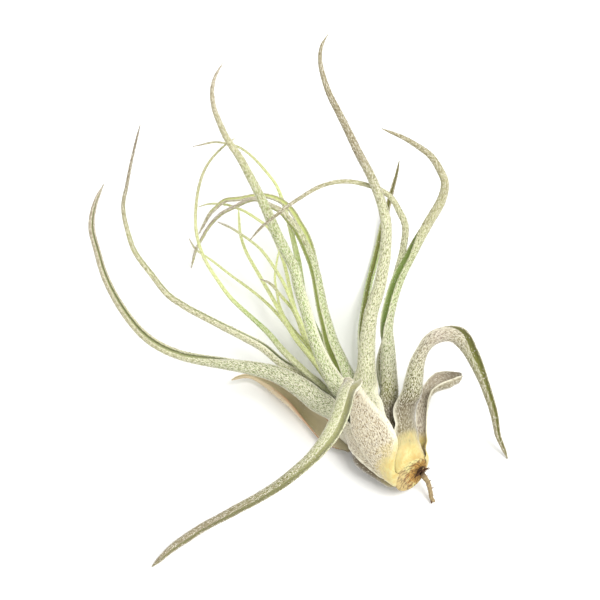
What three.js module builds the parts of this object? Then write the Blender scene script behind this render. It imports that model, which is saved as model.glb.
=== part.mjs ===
// A small bulbous air plant, picked and lying on its side, in millimetres with +Z up.
// The bulb is a stack of sheaths, one per leaf, each wrapped round the same axis in its own layer.
// The origin is the small flat spot under the bulb that the plant lies on.
import * as THREE from "three";

const RAD = Math.PI / 180;

// The bulb's axis: its foot, its direction, and the two directions square to it.
const FOOT = new THREE.Vector3(10.4, -16.2, 8.25);
const AXIS = new THREE.Vector3(-0.5, 0.84, 0.21).normalize();
const FRONT = new THREE.Vector3(-0.163, -0.33, 0.93).normalize();
const LEFT = new THREE.Vector3().crossVectors(FRONT, AXIS).normalize();

// The middle of the flat spot under the dry leaf's sheath, which becomes the plant's origin.
const REST_SPOT = new THREE.Vector3(1.2, -1.4, 0);
const PRESSED_BELOW = 0.6;

// Outside radius of the bulb at each height above its foot, in the layer that lies outermost.
const PROFILE = [
  [-3, 2.6], [-0.2, 3.7], [0.6, 4.7], [2, 5.8], [4, 6.9], [6.5, 7.9], [9, 8.7], [12, 9.9],
  [15, 10.8], [18, 11.3], [22, 11.4], [26, 10.8], [30, 9.8], [34, 8.6], [38, 7.6], [44, 6.6],
];

// How far the bulb's foot leans to the right of its axis at each height.
const FOOT_LEAN = [[-3, 2], [0, 1.9], [4, 1.4], [8, 0.8], [12, 0.3], [15, 0], [44, 0]];

// The scar where the plant was picked: a plane across the foot, tilted towards this side of the
// bulb. The sheaths' feet follow it, and higher up the tilt fades out.
const SCAR_HEIGHT = 5;
const SCAR_SIDE = -30;
const SCAR_TILT = 24;
const TILT_FADES_AT = 13;
const LAYER_PITCH = 1.1;
const SHEATH_THICKNESS = 0.65;
const SHEATH_HEIGHTS = [6, 7.2, 8.6, 10.5, 12.5, 15, 18, 21, 24, 27, 30, 33, 36];
const STEM_SIDES = 20;
const STEM_RADIUS = 1.9;
const STEM_TOP = 11.8;
const SCAR_RADIUS = 6;
const SCAR_THICKNESS = 0.9;
const SCAR_GAP = 0.3;
const MARGIN_THICKNESS = 0.6;
const TIP_DIAMETER = 0.7;

// How far a blade's section reaches round each side of its channel, in degrees.
const BLADE_WRAP = 128;
const BLUNT_WRAP = 88;

// Each leaf: its layer (0 is the outermost full one), the side of the bulb it grows on in degrees
// from the front towards the left, how far above the scar its sheath starts, the height it ends at,
// the length over which the sheath rolls into the blade's channel, how far the sheath wraps to the
// right and to the left by height, the points across a section (n), the sections along the blade,
// the channel's greatest thickness, its colour, and the path of its blade as rows of x, y, z and
// width. A flare is how far the sheath stands off the layer below by height.
const LEAVES = {
  front_leaf: { layer: 0, side: -6, above: 0, to: 36, roll: 8,
    wrap: [[5, -38, 90], [7.2, -14, 83], [9.5, -2, 71], [12, 8, 60], [14.5, 15, 56],
      [20, 17, 50], [25, 13, 38], [30, 10, 23], [36, 13, 11]],
    n: 8, stations: 22, thick: 1.5, colour: 0xbfc2a4, path: [
    [-8.2, 10.6, 26.5, 4], [-9.6, 7, 30.4, 4.1], [-11, 2.4, 34, 4.2], [-12.5, -4, 36.5, 4.3],
    [-15.5, -11.5, 36.5, 4.3], [-21, -18, 33.5, 4], [-28, -22.5, 29, 3.8], [-36, -25.5, 22.5, 3.4],
    [-45.5, -28, 15.5, 3], [-54, -30, 10, 2.4], [-63, -33.5, 5, 1.8], [-70, -38.5, 0.36, 0.7],
  ] },
  left_leaf: { layer: 1, side: 82, above: 0, to: 27, roll: 14,
    wrap: [[5, 34, 70], [9, 55, 68], [14, 66, 65], [27, 36, 24]],
    n: 8, stations: 24, thick: 1.4, colour: 0xb9c29a, path: [
    [-18, 9.5, 15, 6.6], [-25, 15.5, 16.5, 6], [-33, 19.5, 18, 5.1], [-42, 21, 19.5, 4.3],
    [-48.9, 21.6, 20.6, 3.8], [-55.2, 21.8, 22.1, 3.5], [-62.2, 22.3, 24.1, 3.1],
    [-68.7, 23.3, 27.6, 3], [-73.7, 24.8, 32.1, 2.8], [-77.7, 27.3, 37.1, 2.6],
    [-81.7, 31.3, 42.6, 2.5], [-85.2, 36.8, 48.1, 2.3], [-87.2, 42.3, 53.1, 2.1],
    [-88.7, 46.8, 57.1, 2], [-88.2, 50.3, 61.1, 1.7], [-86.7, 53.8, 64.1, 1.3],
    [-84.7, 56.8, 66.6, 0.7],
  ] },
  outer_left_leaf: { layer: 2, side: 114, above: 0, to: 27, roll: 12,
    wrap: [[0, 60, 55], [14, 50, 55], [27, 12, 32]],
    n: 6, stations: 22, thick: 1.2, colour: 0xb4c48f, path: [
    [-20, 19.5, 12.5, 4.5], [-25.5, 23, 13.5, 3.9], [-30.5, 25.5, 14.5, 3.4], [-36.8, 30.8, 16.1, 3.2],
    [-44, 34, 18.2, 2.9], [-52, 37, 20.7, 2.6], [-66, 42.5, 26.7, 2.3], [-71.5, 48.5, 31.2, 2.1],
    [-76.5, 54, 36.2, 1.9], [-79.5, 59.5, 42.2, 1.7], [-81, 64.5, 47.2, 1.5], [-80, 68.5, 51.2, 1.3],
    [-79, 73, 54.7, 1.1], [-77.5, 79.5, 58.2, 0.9], [-76, 86, 61.2, 0.6],
  ] },
  tall_left_leaf: { layer: 3, side: 48, above: 0.6, to: 30, roll: 12,
    wrap: [[0, 60, 70], [14, 60, 60], [30, 42, 24]],
    n: 7, stations: 24, thick: 1.4, colour: 0xb7c49a, path: [
    [-13, 13, 20, 6.2], [-16.5, 18.5, 23, 4.8], [-19, 23, 26, 4.1], [-21, 28, 28.5, 3.8],
    [-23.5, 36, 32, 3.7], [-25.5, 42, 34.5, 3.6], [-26.5, 47, 36, 3.5], [-29, 52, 37.5, 3.4],
    [-32.5, 58.5, 40, 3.5], [-35.5, 65, 42.5, 3.2], [-38.5, 70.5, 45, 3], [-41.5, 76, 47.5, 2.7],
    [-44.5, 81.5, 50, 2.5], [-48.5, 87, 53, 2.2], [-51.5, 92.5, 56.5, 1.9], [-53, 95.5, 59.5, 1.6],
    [-53.5, 99.5, 62.5, 1.4], [-52.5, 103, 65.5, 1], [-50, 106.5, 68, 0.6],
  ] },
  arched_leaf: { layer: 4, side: 2, above: 1.6, to: 30, roll: 12,
    wrap: [[0, 60, 60], [14, 50, 60], [24, 26, 48], [30, 32, 42]],
    n: 6, stations: 26, thick: 1.1, colour: 0xa9c47e, path: [
    [-10.5, 19, 17.5, 5.7], [-13, 25, 18.5, 5.4], [-15, 29.5, 20, 5.1], [-16.5, 35.5, 21.5, 4.3],
    [-18, 41.5, 23, 3.9], [-19, 47.5, 24.5, 3.7], [-20.5, 55, 26.5, 3.4], [-23.5, 62.5, 29, 3.1],
    [-26, 67, 31, 2.9], [-28.5, 70, 32, 2.6], [-31.5, 74, 32.5, 2.3], [-35, 76.5, 32, 2],
    [-37.5, 79.5, 31, 1.8], [-41, 82, 29.5, 1.7], [-43.5, 82.5, 27.5, 1.6], [-47.5, 82.5, 24, 1.5],
    [-51.5, 82.5, 20.5, 1.4], [-54.5, 82, 17, 1.3], [-57, 80.5, 14, 1.2], [-59, 78, 11.5, 1.1],
    [-61, 76, 8.5, 1], [-62, 75, 4.5, 0.9], [-63, 74, 0.16, 0.7],
  ] },
  lower_arched_leaf: { layer: 4, side: 165, above: 1.6, to: 27, roll: 10,
    wrap: [[0, 20, 36], [14, 18, 36], [27, 14, 26]],
    n: 5, stations: 24, thick: 1, colour: 0xa7b98b, path: [
    [-15.5, 40, 12, 2.6], [-17.5, 51, 13.5, 2.7], [-19.5, 61.5, 15, 2.5], [-21.5, 71.5, 16.5, 2.5],
    [-23.5, 77, 17.5, 2.5], [-25, 79.5, 18, 2.3], [-26.5, 82.5, 19, 2.2], [-28.5, 85.5, 19.5, 2.1],
    [-30.5, 87.5, 20, 2], [-33.5, 89.5, 20, 1.9], [-37, 91, 19.5, 1.8], [-41.5, 92, 18, 1.7],
    [-45.5, 92.5, 16, 1.7], [-52, 94, 13, 1.7], [-54, 93, 11, 1.6], [-56.5, 92, 9, 1.5],
    [-58.5, 90.5, 5.5, 1.2], [-61, 87.5, 2, 0.7],
  ] },
  tall_right_leaf: { layer: 2, side: -24, above: 0, to: 30, roll: 12,
    wrap: [[5, 40, 68], [8, 10, 60], [11, -4, 54], [18, -2, 42], [21.5, 3, 36], [24, 8, 33],
      [28, 24, 28], [30, 28, 26]],
    n: 8, stations: 26, thick: 1.5, colour: 0xc4c8aa, path: [
    [-4, 11, 21, 6.9], [-4.2, 16, 23.6, 6.2], [-4.1, 21.5, 27.9, 6], [-3.5, 25.5, 32.5, 5.9],
    [-2.5, 30, 37, 5.6], [-0.5, 34, 42, 5.3], [0.5, 37, 45.5, 4.9], [1.5, 41.5, 50, 4.3],
    [1.5, 45, 54, 3.8], [1.5, 49, 58, 3.5], [0.5, 52, 61.5, 3.2], [-1, 55, 65, 3],
    [-3.5, 59, 69, 2.8], [-7, 63, 73.5, 2.7], [-10, 67.5, 77.5, 2.4], [-13, 72, 81.5, 2.2],
    [-16, 76, 85.5, 1.9], [-18, 80.5, 89, 1.6], [-19, 84, 92, 1.3], [-18.5, 88, 94.5, 0.9],
    [-16.5, 90.5, 96.5, 0.6],
  ] },
  right_leaf: { layer: 3, side: -62, above: 0.6, to: 21, roll: 12,
    wrap: [[0, 60, 42], [12, 40, 42], [21, 30, 36]],
    n: 7, stations: 26, thick: 1.4, colour: 0xa9b184, path: [
    [3.5, 11, 17, 6], [3, 19.5, 19, 5.5], [3, 26.5, 20.5, 4.9], [2.5, 32.5, 23, 4.6],
    [3, 36.5, 25.5, 4.5], [4, 40, 28, 4.3], [6, 45, 32.5, 4.2], [8, 48, 36, 4],
    [10.5, 51, 40, 3.7], [13, 54.5, 44, 3.5], [16, 57.5, 49, 3.1], [18.5, 59.5, 53, 2.8],
    [20, 61.5, 57, 2.5], [20.5, 64, 60, 2.3], [18.5, 66.5, 63, 2.2], [15.5, 69, 66, 2],
    [11.5, 70, 69, 1.7], [7.5, 71, 71.5, 1.4], [3.5, 71.5, 73.5, 1], [0, 72, 75, 0.6],
  ] },
  right_arch_leaf: { layer: 1, side: -75, above: 0, to: 18, roll: 10, flare: [[12, 0], [15, 0.7], [18, 1.1]],
    wrap: [[5, 72, 115], [7, 62, 95], [9.5, 50, 79], [12, 42, 65], [15, 35, 49], [18, 30, 36]],
    n: 8, stations: 24, thick: 1.5, colour: 0xb3ae8c, path: [
    [9.9, 6.4, 20, 7.2], [9.7, 9.6, 23, 6.5], [10.3, 12.7, 26.8, 5.5], [11.2, 16, 31, 4.4],
    [13, 18.5, 34.5, 3.5], [15, 20, 36.5, 3.2], [18, 21, 37.5, 3.1], [21, 21.5, 37.5, 3.1],
    [24, 20.5, 36.5, 3.2], [26.5, 18.5, 34, 3.4], [29, 16, 30, 3.2], [31.5, 13.5, 25, 2.9],
    [33.5, 11.5, 20, 2.6], [35.5, 8.5, 15.5, 2.3], [37, 6, 11, 2.1], [38, 3.5, 7, 1.7],
    [40, 1, 3, 1.3], [41.5, -1.5, 0.33, 0.6],
  ] },
  spoon_leaf: { layer: 0, side: -122, above: 0, to: 8, roll: 7,
    wrap: [[0, 28, 28], [6, 20, 20]],
    n: 6, stations: 18, thick: 0.9, colour: 0xb5b08e, blunt: true, path: [
    [13.9, 6.2, 11.5, 2.9], [14.1, 8.8, 14.5, 2.9], [14.5, 11, 17, 3], [15.6, 13.1, 19, 3.8],
    [17.8, 14.8, 20.2, 5.8], [20.7, 15.7, 20.3, 6.4], [23.3, 16.8, 19.8, 5], [25.7, 17.8, 18.9, 1.8],
  ] },
  dry_leaf: { layer: -1, side: 134, above: 2.6, to: 21, roll: 14, sheath: 1.1,
    wrap: [[7, 43, 49], [9, 50, 49], [12, 60, 49], [16, 62, 49], [21, 50, 32]],
    n: 7, stations: 20, thick: 1.1, colour: 0x9a876a, path: [
    [-15, 4.5, 3.5, 6.4], [-19, 9.5, 3.5, 6.3], [-23.5, 15, 3.5, 6.5], [-28.5, 20, 3.5, 5.9],
    [-32, 22.5, 2.7, 4.6], [-34.5, 24.5, 2.1, 3.5], [-37.5, 26, 2.2, 2.6], [-41, 27.5, 3, 2.2],
    [-43, 27, 4, 2], [-45.5, 26.5, 4, 1.6], [-47.5, 26, 3, 1],
  ] },
  behind_leaf: { layer: 3, side: 176, above: 0.6, to: 27, roll: 10,
    wrap: [[0, 40, 40], [14, 40, 40], [27, 22, 22]],
    n: 5, stations: 20, thick: 1, colour: 0x93a06b, path: [
    [-4.5, 38, 6.5, 2.7], [-4, 47.5, 5.5, 2.7], [-3, 55.5, 4.5, 2.6], [-1.5, 66, 2, 2.4],
    [0.5, 75, 1.34, 2.4], [2.5, 84.5, 1.4, 2.3], [4, 91.5, 3, 2.2], [5.5, 95.5, 6, 2],
    [6.5, 98.5, 8, 1.8], [7.5, 101.5, 10.5, 1.5], [9, 105.5, 13.5, 1.1], [10, 109.5, 16.5, 0.7],
  ] },
  far_arch_leaf: { layer: 4, side: -110, above: 1.6, to: 24, roll: 10,
    wrap: [[0, 34, 34], [14, 34, 34], [24, 24, 24]],
    n: 5, stations: 26, thick: 1, colour: 0xa3a783, path: [
    [0.5, 26, 13, 2.9], [3, 36, 15, 2.8], [4.5, 43, 22, 2.6], [5.5, 48, 30, 2.4], [7, 51, 37, 2.2],
    [8, 53.5, 43, 2.2], [8.5, 55.5, 47.5, 2], [7.5, 56.5, 52, 1.9], [6, 56.5, 55, 1.9],
    [4, 57.5, 58, 1.7], [1.5, 58.5, 61, 1.6], [-1.5, 59, 63, 1.5], [-4.5, 59, 64.5, 1.5],
    [-9.5, 59.5, 65.5, 1.4], [-15, 59, 65.5, 1.3], [-20, 58, 64, 1.3], [-25, 55.5, 62, 1.2],
    [-29, 54, 59.5, 1.1], [-33.5, 52, 56, 1], [-36.5, 51.5, 53, 0.9], [-40.5, 49, 49, 0.6],
  ] },
};

// The young leaves in the middle of the bulb: each starts at its place in the core, measured to
// the left and to the front of the axis, and follows its path. They are thin and nearly round.
const CORE_HEIGHT = 12.6;
const GATE_HEIGHT = 38;
const CORE_WIDTH = 1.4;
const YOUNG_LEAVES = {
  loop_leaf: { core: [3.2, 0.9], gate: [6.7, 0.1], colour: 0xa6c16c, stations: 26, path: [
    [-23.5, 21, 17, 2.4], [-30.5, 27, 20, 2.2], [-35, 32.5, 21.5, 1.9], [-39.5, 36.5, 23, 1.6],
    [-47.5, 44, 25, 1.4], [-51.5, 49.5, 26.5, 1.2], [-55.5, 55.5, 28.5, 1.1], [-58, 61, 31, 1.1],
    [-59.2, 66.5, 34, 1], [-59, 72.5, 37.5, 1], [-58, 78, 41, 1], [-55.5, 83.5, 44.5, 0.9],
    [-50.5, 89, 47, 0.8], [-46.5, 92, 48, 0.7],
  ] },
  thin_leaf_1: { core: [-1.9, -1.2], gate: [0.4, -3.6], colour: 0xb4ce86, stations: 22, path: [
    [-22.5, 48.5, 11.5, 2], [-24.5, 60.5, 11, 2], [-25.5, 68.5, 11, 2.1], [-27, 76.5, 11.5, 1.9],
    [-28.5, 83.5, 12, 1.7], [-30, 89.5, 13, 1.5], [-31.5, 94.5, 14.5, 1.3], [-33.5, 98.5, 17, 1.1],
    [-37, 102, 19.5, 1.1], [-40.5, 106, 21, 1], [-43, 108, 22, 0.9], [-47, 111, 22.5, 0.9],
    [-52, 112.5, 22.5, 0.8], [-55.5, 113.5, 22, 0.8], [-59.5, 113, 21, 0.8], [-63, 113, 20, 0.7],
  ] },
  thin_leaf_2: { core: [1, -0.4], gate: [5.2, -1.9], colour: 0xb9cf7c, stations: 18, path: [
    [-21, 27, 15, 1.9], [-26, 34, 15, 1.6], [-29, 39.5, 15.5, 1.5], [-34, 50, 16, 1.3],
    [-39.5, 61, 16.5, 1.2], [-43.5, 70, 16, 1.1], [-45.5, 78, 15, 1], [-46, 83.5, 14, 0.9],
    [-46.5, 91.5, 12, 0.7],
  ] },
  thin_leaf_3: { core: [3.1, -1.4], gate: [4.8, -4.1], colour: 0xbfd287, stations: 18, path: [
    [-23, 32.5, 10.5, 1.5], [-28.5, 42.5, 9, 1.3], [-31.5, 47.5, 8.5, 1.2], [-36, 53.5, 8, 1.1],
    [-40, 58, 7.5, 1], [-43.5, 61.5, 7, 1], [-49, 67, 6, 0.9], [-56.5, 75, 4.5, 0.8],
    [-62, 80.5, 3, 0.8], [-64, 84.5, 3.5, 0.7],
  ] },
  thin_leaf_4: { core: [1.1, 1.9], gate: [4, -0.5], colour: 0xb5b98a, stations: 18, path: [
    [-21, 31, 17, 1.5], [-24, 37.5, 18, 1.4], [-27.5, 45.5, 19.5, 1.2], [-29.5, 51, 20.5, 1.2],
    [-33, 58, 21, 1.1], [-38, 66.5, 21, 1], [-41, 70, 20.5, 0.9], [-45.5, 75, 19, 0.9],
    [-49, 79.5, 16.5, 0.8], [-53.5, 84.5, 13, 0.7],
  ] },
  thin_leaf_5: { core: [-1.1, 1.6], gate: [2.3, -1.5], colour: 0xb7ba8e, stations: 16, path: [
    [-21.5, 34.5, 13, 1.5], [-24.5, 39.5, 14.5, 1.4], [-27.5, 45.5, 17, 1.2],
    [-30, 47.5, 18.5, 1.1], [-33, 51, 20, 1], [-35, 53.5, 20.5, 0.9], [-38, 54.5, 20.5, 0.7],
  ] },
  thin_leaf_6: { core: [0.2, -2.6], gate: [2.8, -3.5], colour: 0xd2dab0, stations: 16, path: [
    [-24, 37, 10.5, 1.2], [-27, 41, 10.5, 1], [-30, 46, 10.5, 0.9], [-32, 51, 11, 0.9],
    [-32.5, 54.5, 11.5, 0.8], [-33.5, 60, 12.5, 0.8], [-33, 66, 13.5, 0.7], [-32, 71.5, 14.5, 0.7],
  ] },
  thin_leaf_7: { core: [2.6, -3.1], gate: [4.3, -6.1], colour: 0xc2cf9a, stations: 20, path: [
    [-22.5, 36.5, 8.5, 1.4], [-25, 44.5, 8, 1.3], [-27.5, 55, 8, 1.3], [-30.5, 70, 9, 1.2],
    [-33.5, 79, 10, 1.2], [-36, 84, 11, 1.1], [-40.5, 87, 12, 1], [-44, 90, 12, 1],
    [-47.5, 92.5, 11, 1], [-50, 94.5, 10, 0.9], [-54.5, 96, 9, 0.8], [-58.5, 96.5, 8, 0.8],
    [-61, 96, 7, 0.7],
  ] },
};

const ROOT_PATH = [
  [13, -11.2, 8.5, 1.4], [13.6, -11.6, 7.3, 1.5], [14.7, -12.5, 6, 1.3], [15.4, -13.8, 4.6, 1.3],
  [15.8, -15.1, 3, 1.2], [16.2, -16.4, 1.5, 1.1], [17.2, -17, 0.9, 0.8],
];

// ---------------------------------------------------------------- helpers

const smooth = (t) => {
  const c = Math.min(1, Math.max(0, t));
  return c * c * (3 - 2 * c);
};
const mix = (a, b, t) => a + (b - a) * t;

// Column k of a table whose rows start with a height, read at height h.
function rowValue(rows, h, k) {
  let i = 0;
  while (i < rows.length - 2 && rows[i + 1][0] < h) i += 1;
  const t = (h - rows[i][0]) / (rows[i + 1][0] - rows[i][0]);
  return mix(rows[i][k], rows[i + 1][k], Math.min(1, Math.max(0, t)));
}

function outward(side) {
  return new THREE.Vector3()
    .addScaledVector(FRONT, Math.cos(side * RAD))
    .addScaledVector(LEFT, Math.sin(side * RAD));
}

// The middle of the bulb at a height: on its axis, but for the foot's lean.
const middle = (h) => FOOT.clone()
  .addScaledVector(AXIS, h)
  .addScaledVector(LEFT, -rowValue(FOOT_LEAN, h, 1));

// The height of a ring on one side of the bulb, tilted as the scar is near the foot.
function tilted(h, side, radius) {
  const rise = radius * Math.tan(SCAR_TILT * RAD) * Math.cos((side - SCAR_SIDE) * RAD);
  return h + rise * (1 - smooth((h - SCAR_HEIGHT) / (TILT_FADES_AT - SCAR_HEIGHT)));
}

// The point of a ring at one side of the bulb and a distance from its middle.
const bulbPoint = (h, side, radius) => middle(h)
  .addScaledVector(AXIS, tilted(h, side, radius) - h)
  .addScaledVector(outward(side), radius);

// A closed skin over rings of points: the sides, then one fan or strip at each end.
function skin(rings, strip) {
  const n = rings[0].length;
  const pos = [];
  const idx = [];
  rings.forEach((ring) => ring.forEach((p) => pos.push(p.x, p.y, p.z)));
  for (let i = 0; i + 1 < rings.length; i += 1) {
    for (let j = 0; j < n; j += 1) {
      const a = i * n + j;
      const b = i * n + ((j + 1) % n);
      idx.push(a, b, b + n, a, b + n, a + n);
    }
  }
  const last = (rings.length - 1) * n;
  const cap = (base, flip) => {
    const tri = (a, b, c) => {
      if (flip) idx.push(base + a, base + c, base + b);
      else idx.push(base + a, base + b, base + c);
    };
    if (strip) {
      for (let j = 0; j + 1 < n / 2; j += 1) {
        tri(j, n - 1 - j, n - 2 - j);
        tri(j, n - 2 - j, j + 1);
      }
    } else {
      for (let j = 1; j + 1 < n; j += 1) tri(0, j + 1, j);
    }
  };
  cap(0, false);
  cap(last, true);
  const g = new THREE.BufferGeometry();
  g.setAttribute("position", new THREE.Float32BufferAttribute(pos, 3));
  g.setIndex(idx);
  g.computeVertexNormals();
  return g;
}

// One section of a leaf: a channel open towards `up`, its outside on an arc of radius r round a
// centre r above p, reaching wrapR to one side and wrapL to the other.
function channel(p, up, across, r, wrapR, wrapL, thick, margin, n) {
  const centre = p.clone().addScaledVector(up, r);
  const at = (a, rad) => centre.clone()
    .addScaledVector(up, -Math.cos(a) * rad)
    .addScaledVector(across, Math.sin(a) * rad);
  const outer = [];
  const inner = [];
  for (let i = 0; i < n; i += 1) {
    const a = mix(wrapL, -wrapR, i / (n - 1));
    const edge = Math.abs(a) / (a < 0 ? wrapR : wrapL);
    const t = margin + (thick - margin) * Math.cos(edge * Math.PI / 2);
    outer.push(at(a, r));
    inner.push(at(a, Math.max(r - t, r * 0.16)));
  }
  return outer.concat(inner.reverse());
}

// Points along a path at equal lengths, with the direction and the width at each.
function walk(points, widths, count) {
  const curve = new THREE.CatmullRomCurve3(points, false, "centripetal");
  const fine = 600;
  const at = [];
  let length = 0;
  let prev = null;
  for (let i = 0; i <= fine; i += 1) {
    const p = curve.getPoint(i / fine);
    if (prev) length += p.distanceTo(prev);
    at.push({ p, length, u: i / fine });
    prev = p;
  }
  const out = [];
  let k = 0;
  for (let i = 0; i < count; i += 1) {
    const s = length * i / (count - 1);
    while (k < fine - 1 && at[k + 1].length < s) k += 1;
    const f = (s - at[k].length) / Math.max(1e-9, at[k + 1].length - at[k].length);
    const u = mix(at[k].u, at[k + 1].u, Math.min(1, f));
    const seg = Math.min(widths.length - 2, Math.floor(u * (widths.length - 1)));
    const w = mix(widths[seg], widths[seg + 1], u * (widths.length - 1) - seg);
    out.push({ p: curve.getPoint(u), dir: curve.getTangent(u), s, w });
  }
  return out;
}

function turnFrame(up, dir) {
  const u = up.clone().addScaledVector(dir, -up.dot(dir));
  return u.normalize();
}

// One ring of a sheath round the bulb: its outside from left to right, then its inside back.
function sheathRing(leaf, h, rOut, base) {
  const outer = [];
  const inner = [];
  for (let i = 0; i < leaf.n; i += 1) {
    const side = leaf.side
      + mix(rowValue(leaf.wrap, h, 2), -rowValue(leaf.wrap, h, 1), i / (leaf.n - 1));
    const r = rOut(tilted(h, side, rOut(h)));
    outer.push(bulbPoint(h, side, r));
    inner.push(bulbPoint(h, side, r - base));
  }
  return outer.concat(inner.reverse());
}

// A sheathing leaf: sections round the bulb's axis up to `to`, then sections along the path.
function leafGeometry(leaf) {
  const flare = leaf.flare || [[0, 0], [1, 0]];
  const rOut = (h) => rowValue(PROFILE, h, 1) - leaf.layer * LAYER_PITCH + rowValue(flare, h, 1);
  const foot = SCAR_HEIGHT + leaf.above;
  const heights = [foot, ...SHEATH_HEIGHTS.filter((h) => h > foot + 0.6 && h <= leaf.to)];
  const out = outward(leaf.side);
  const base = leaf.sheath || SHEATH_THICKNESS;
  const top = heights[heights.length - 1];
  const wrapAt = (h, k) => RAD * rowValue(leaf.wrap, h, k);
  const rings = heights.map((h) => sheathRing(leaf, h, rOut, base));
  const rTop = rOut(top);
  const start = middle(top).addScaledVector(out, rTop);
  const before = middle(top - 3).addScaledVector(out, rOut(top - 3));
  const first = leaf.path[0][3];
  const points = [before, start].concat(leaf.path.map(([x, y, z]) => new THREE.Vector3(x, y, z)));
  const widths = [first, first].concat(leaf.path.map((row) => row[3]));
  const s0 = start.distanceTo(before);
  const track = walk(points, widths, leaf.stations + 2).filter((q) => q.s > s0 * 1.3);
  let up = out.clone().negate();
  track.forEach((q) => {
    const k = smooth((q.s - s0) / leaf.roll);
    const dir = AXIS.clone().lerp(q.dir, smooth((q.s - s0) / (leaf.roll * 0.6))).normalize();
    up = turnFrame(up, dir);
    const across = new THREE.Vector3().crossVectors(dir, up).normalize();
    const fine = Math.max(q.w, TIP_DIAMETER) / 2;
    const open = leaf.blunt ? BLUNT_WRAP : BLADE_WRAP;
    const curl = mix(1 / rTop, 1 / fine, k);
    const r = 1 / curl;
    const halfR = mix(rTop * wrapAt(top, 1), fine * open * RAD, k) * curl;
    const halfL = mix(rTop * wrapAt(top, 2), fine * open * RAD, k) * curl;
    const thick = mix(base, Math.min(leaf.thick, Math.max(0.7, fine * 0.84)), k);
    const margin = Math.min(MARGIN_THICKNESS, fine * 0.84);
    const p = q.p.clone().addScaledVector(up, -fine * k);
    rings.push(channel(p, up, across, r, halfR, halfL, thick, margin, leaf.n));
  });
  // The plant has lain on this leaf, whose sheath is pressed flat where it meets the surface.
  if (leaf.layer < 0) {
    rings.forEach((ring, i) => ring.forEach((p) => {
      const pressed = i < heights.length && p.z < PRESSED_BELOW;
      p.setZ(pressed ? 0 : Math.max(0, p.z));
    }));
  }
  return skin(rings, true);
}

// A thin young leaf: six-sided sections along its path.
function rodRings(points, widths, count, sides) {
  const track = walk(points, widths, count);
  let up = new THREE.Vector3(0.3, 0.2, 0.9);
  return track.map((q) => {
    up = turnFrame(up, q.dir);
    const across = new THREE.Vector3().crossVectors(q.dir, up);
    const r = Math.max(q.w, TIP_DIAMETER) / 2;
    const ring = [];
    for (let i = 0; i < sides; i += 1) {
      const a = (i / sides) * 2 * Math.PI;
      ring.push(q.p.clone()
        .addScaledVector(up, Math.cos(a) * r)
        .addScaledVector(across, Math.sin(a) * r));
    }
    return ring;
  });
}

function youngGeometry(leaf) {
  const place = (h, [left, front]) => middle(h)
    .addScaledVector(LEFT, left)
    .addScaledVector(FRONT, front);
  const points = [
    place(CORE_HEIGHT, leaf.core), place(20, leaf.core), place(GATE_HEIGHT, leaf.gate),
    ...leaf.path.map(([x, y, z]) => new THREE.Vector3(x, y, z)),
  ];
  const widths = [CORE_WIDTH, CORE_WIDTH, CORE_WIDTH, ...leaf.path.map((row) => row[3])];
  return skin(rodRings(points, widths, leaf.stations, 6), false);
}

// The short stem inside the sheaths, with the scar's disc over their feet.
function stemGeometry() {
  const face = SCAR_HEIGHT - SCAR_GAP;
  const rows = [
    [face - SCAR_THICKNESS, SCAR_RADIUS * 0.62], [face - SCAR_THICKNESS * 0.7, SCAR_RADIUS * 0.9],
    [face - SCAR_THICKNESS * 0.25, SCAR_RADIUS], [face, SCAR_RADIUS], [face, STEM_RADIUS],
    [7, STEM_RADIUS], [STEM_TOP - 1, STEM_RADIUS * 0.8], [STEM_TOP, STEM_RADIUS * 0.45],
  ];
  const rings = rows.map(([h, r]) => {
    const ring = [];
    for (let i = 0; i < STEM_SIDES; i += 1) ring.push(bulbPoint(h, -i * 360 / STEM_SIDES, r));
    return ring;
  });
  return skin(rings, false);
}

function rootGeometry() {
  const points = ROOT_PATH.map(([x, y, z]) => new THREE.Vector3(x, y, z));
  return skin(rodRings(points, ROOT_PATH.map((row) => row[3]), 9, 6), false);
}

// ---------------------------------------------------------------- the plant

const group = new THREE.Group();
group.name = "air_plant";
group.position.copy(REST_SPOT).negate();

function add(name, geometry, colour, roughness) {
  const material = new THREE.MeshStandardMaterial({ color: colour, roughness, metalness: 0 });
  const mesh = new THREE.Mesh(geometry, material);
  mesh.name = name;
  group.add(mesh);
}

Object.entries(LEAVES).forEach(([name, leaf]) => add(name, leafGeometry(leaf), leaf.colour, 0.85));
Object.entries(YOUNG_LEAVES).forEach(([name, leaf]) => add(name, youngGeometry(leaf), leaf.colour, 0.7));
add("stem", stemGeometry(), 0xb08a52, 0.6);
add("root", rootGeometry(), 0x6b5842, 0.9);

export default group;
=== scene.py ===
import math

import bpy
import numpy as np
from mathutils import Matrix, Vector
from mathutils.bvhtree import BVHTree


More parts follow.
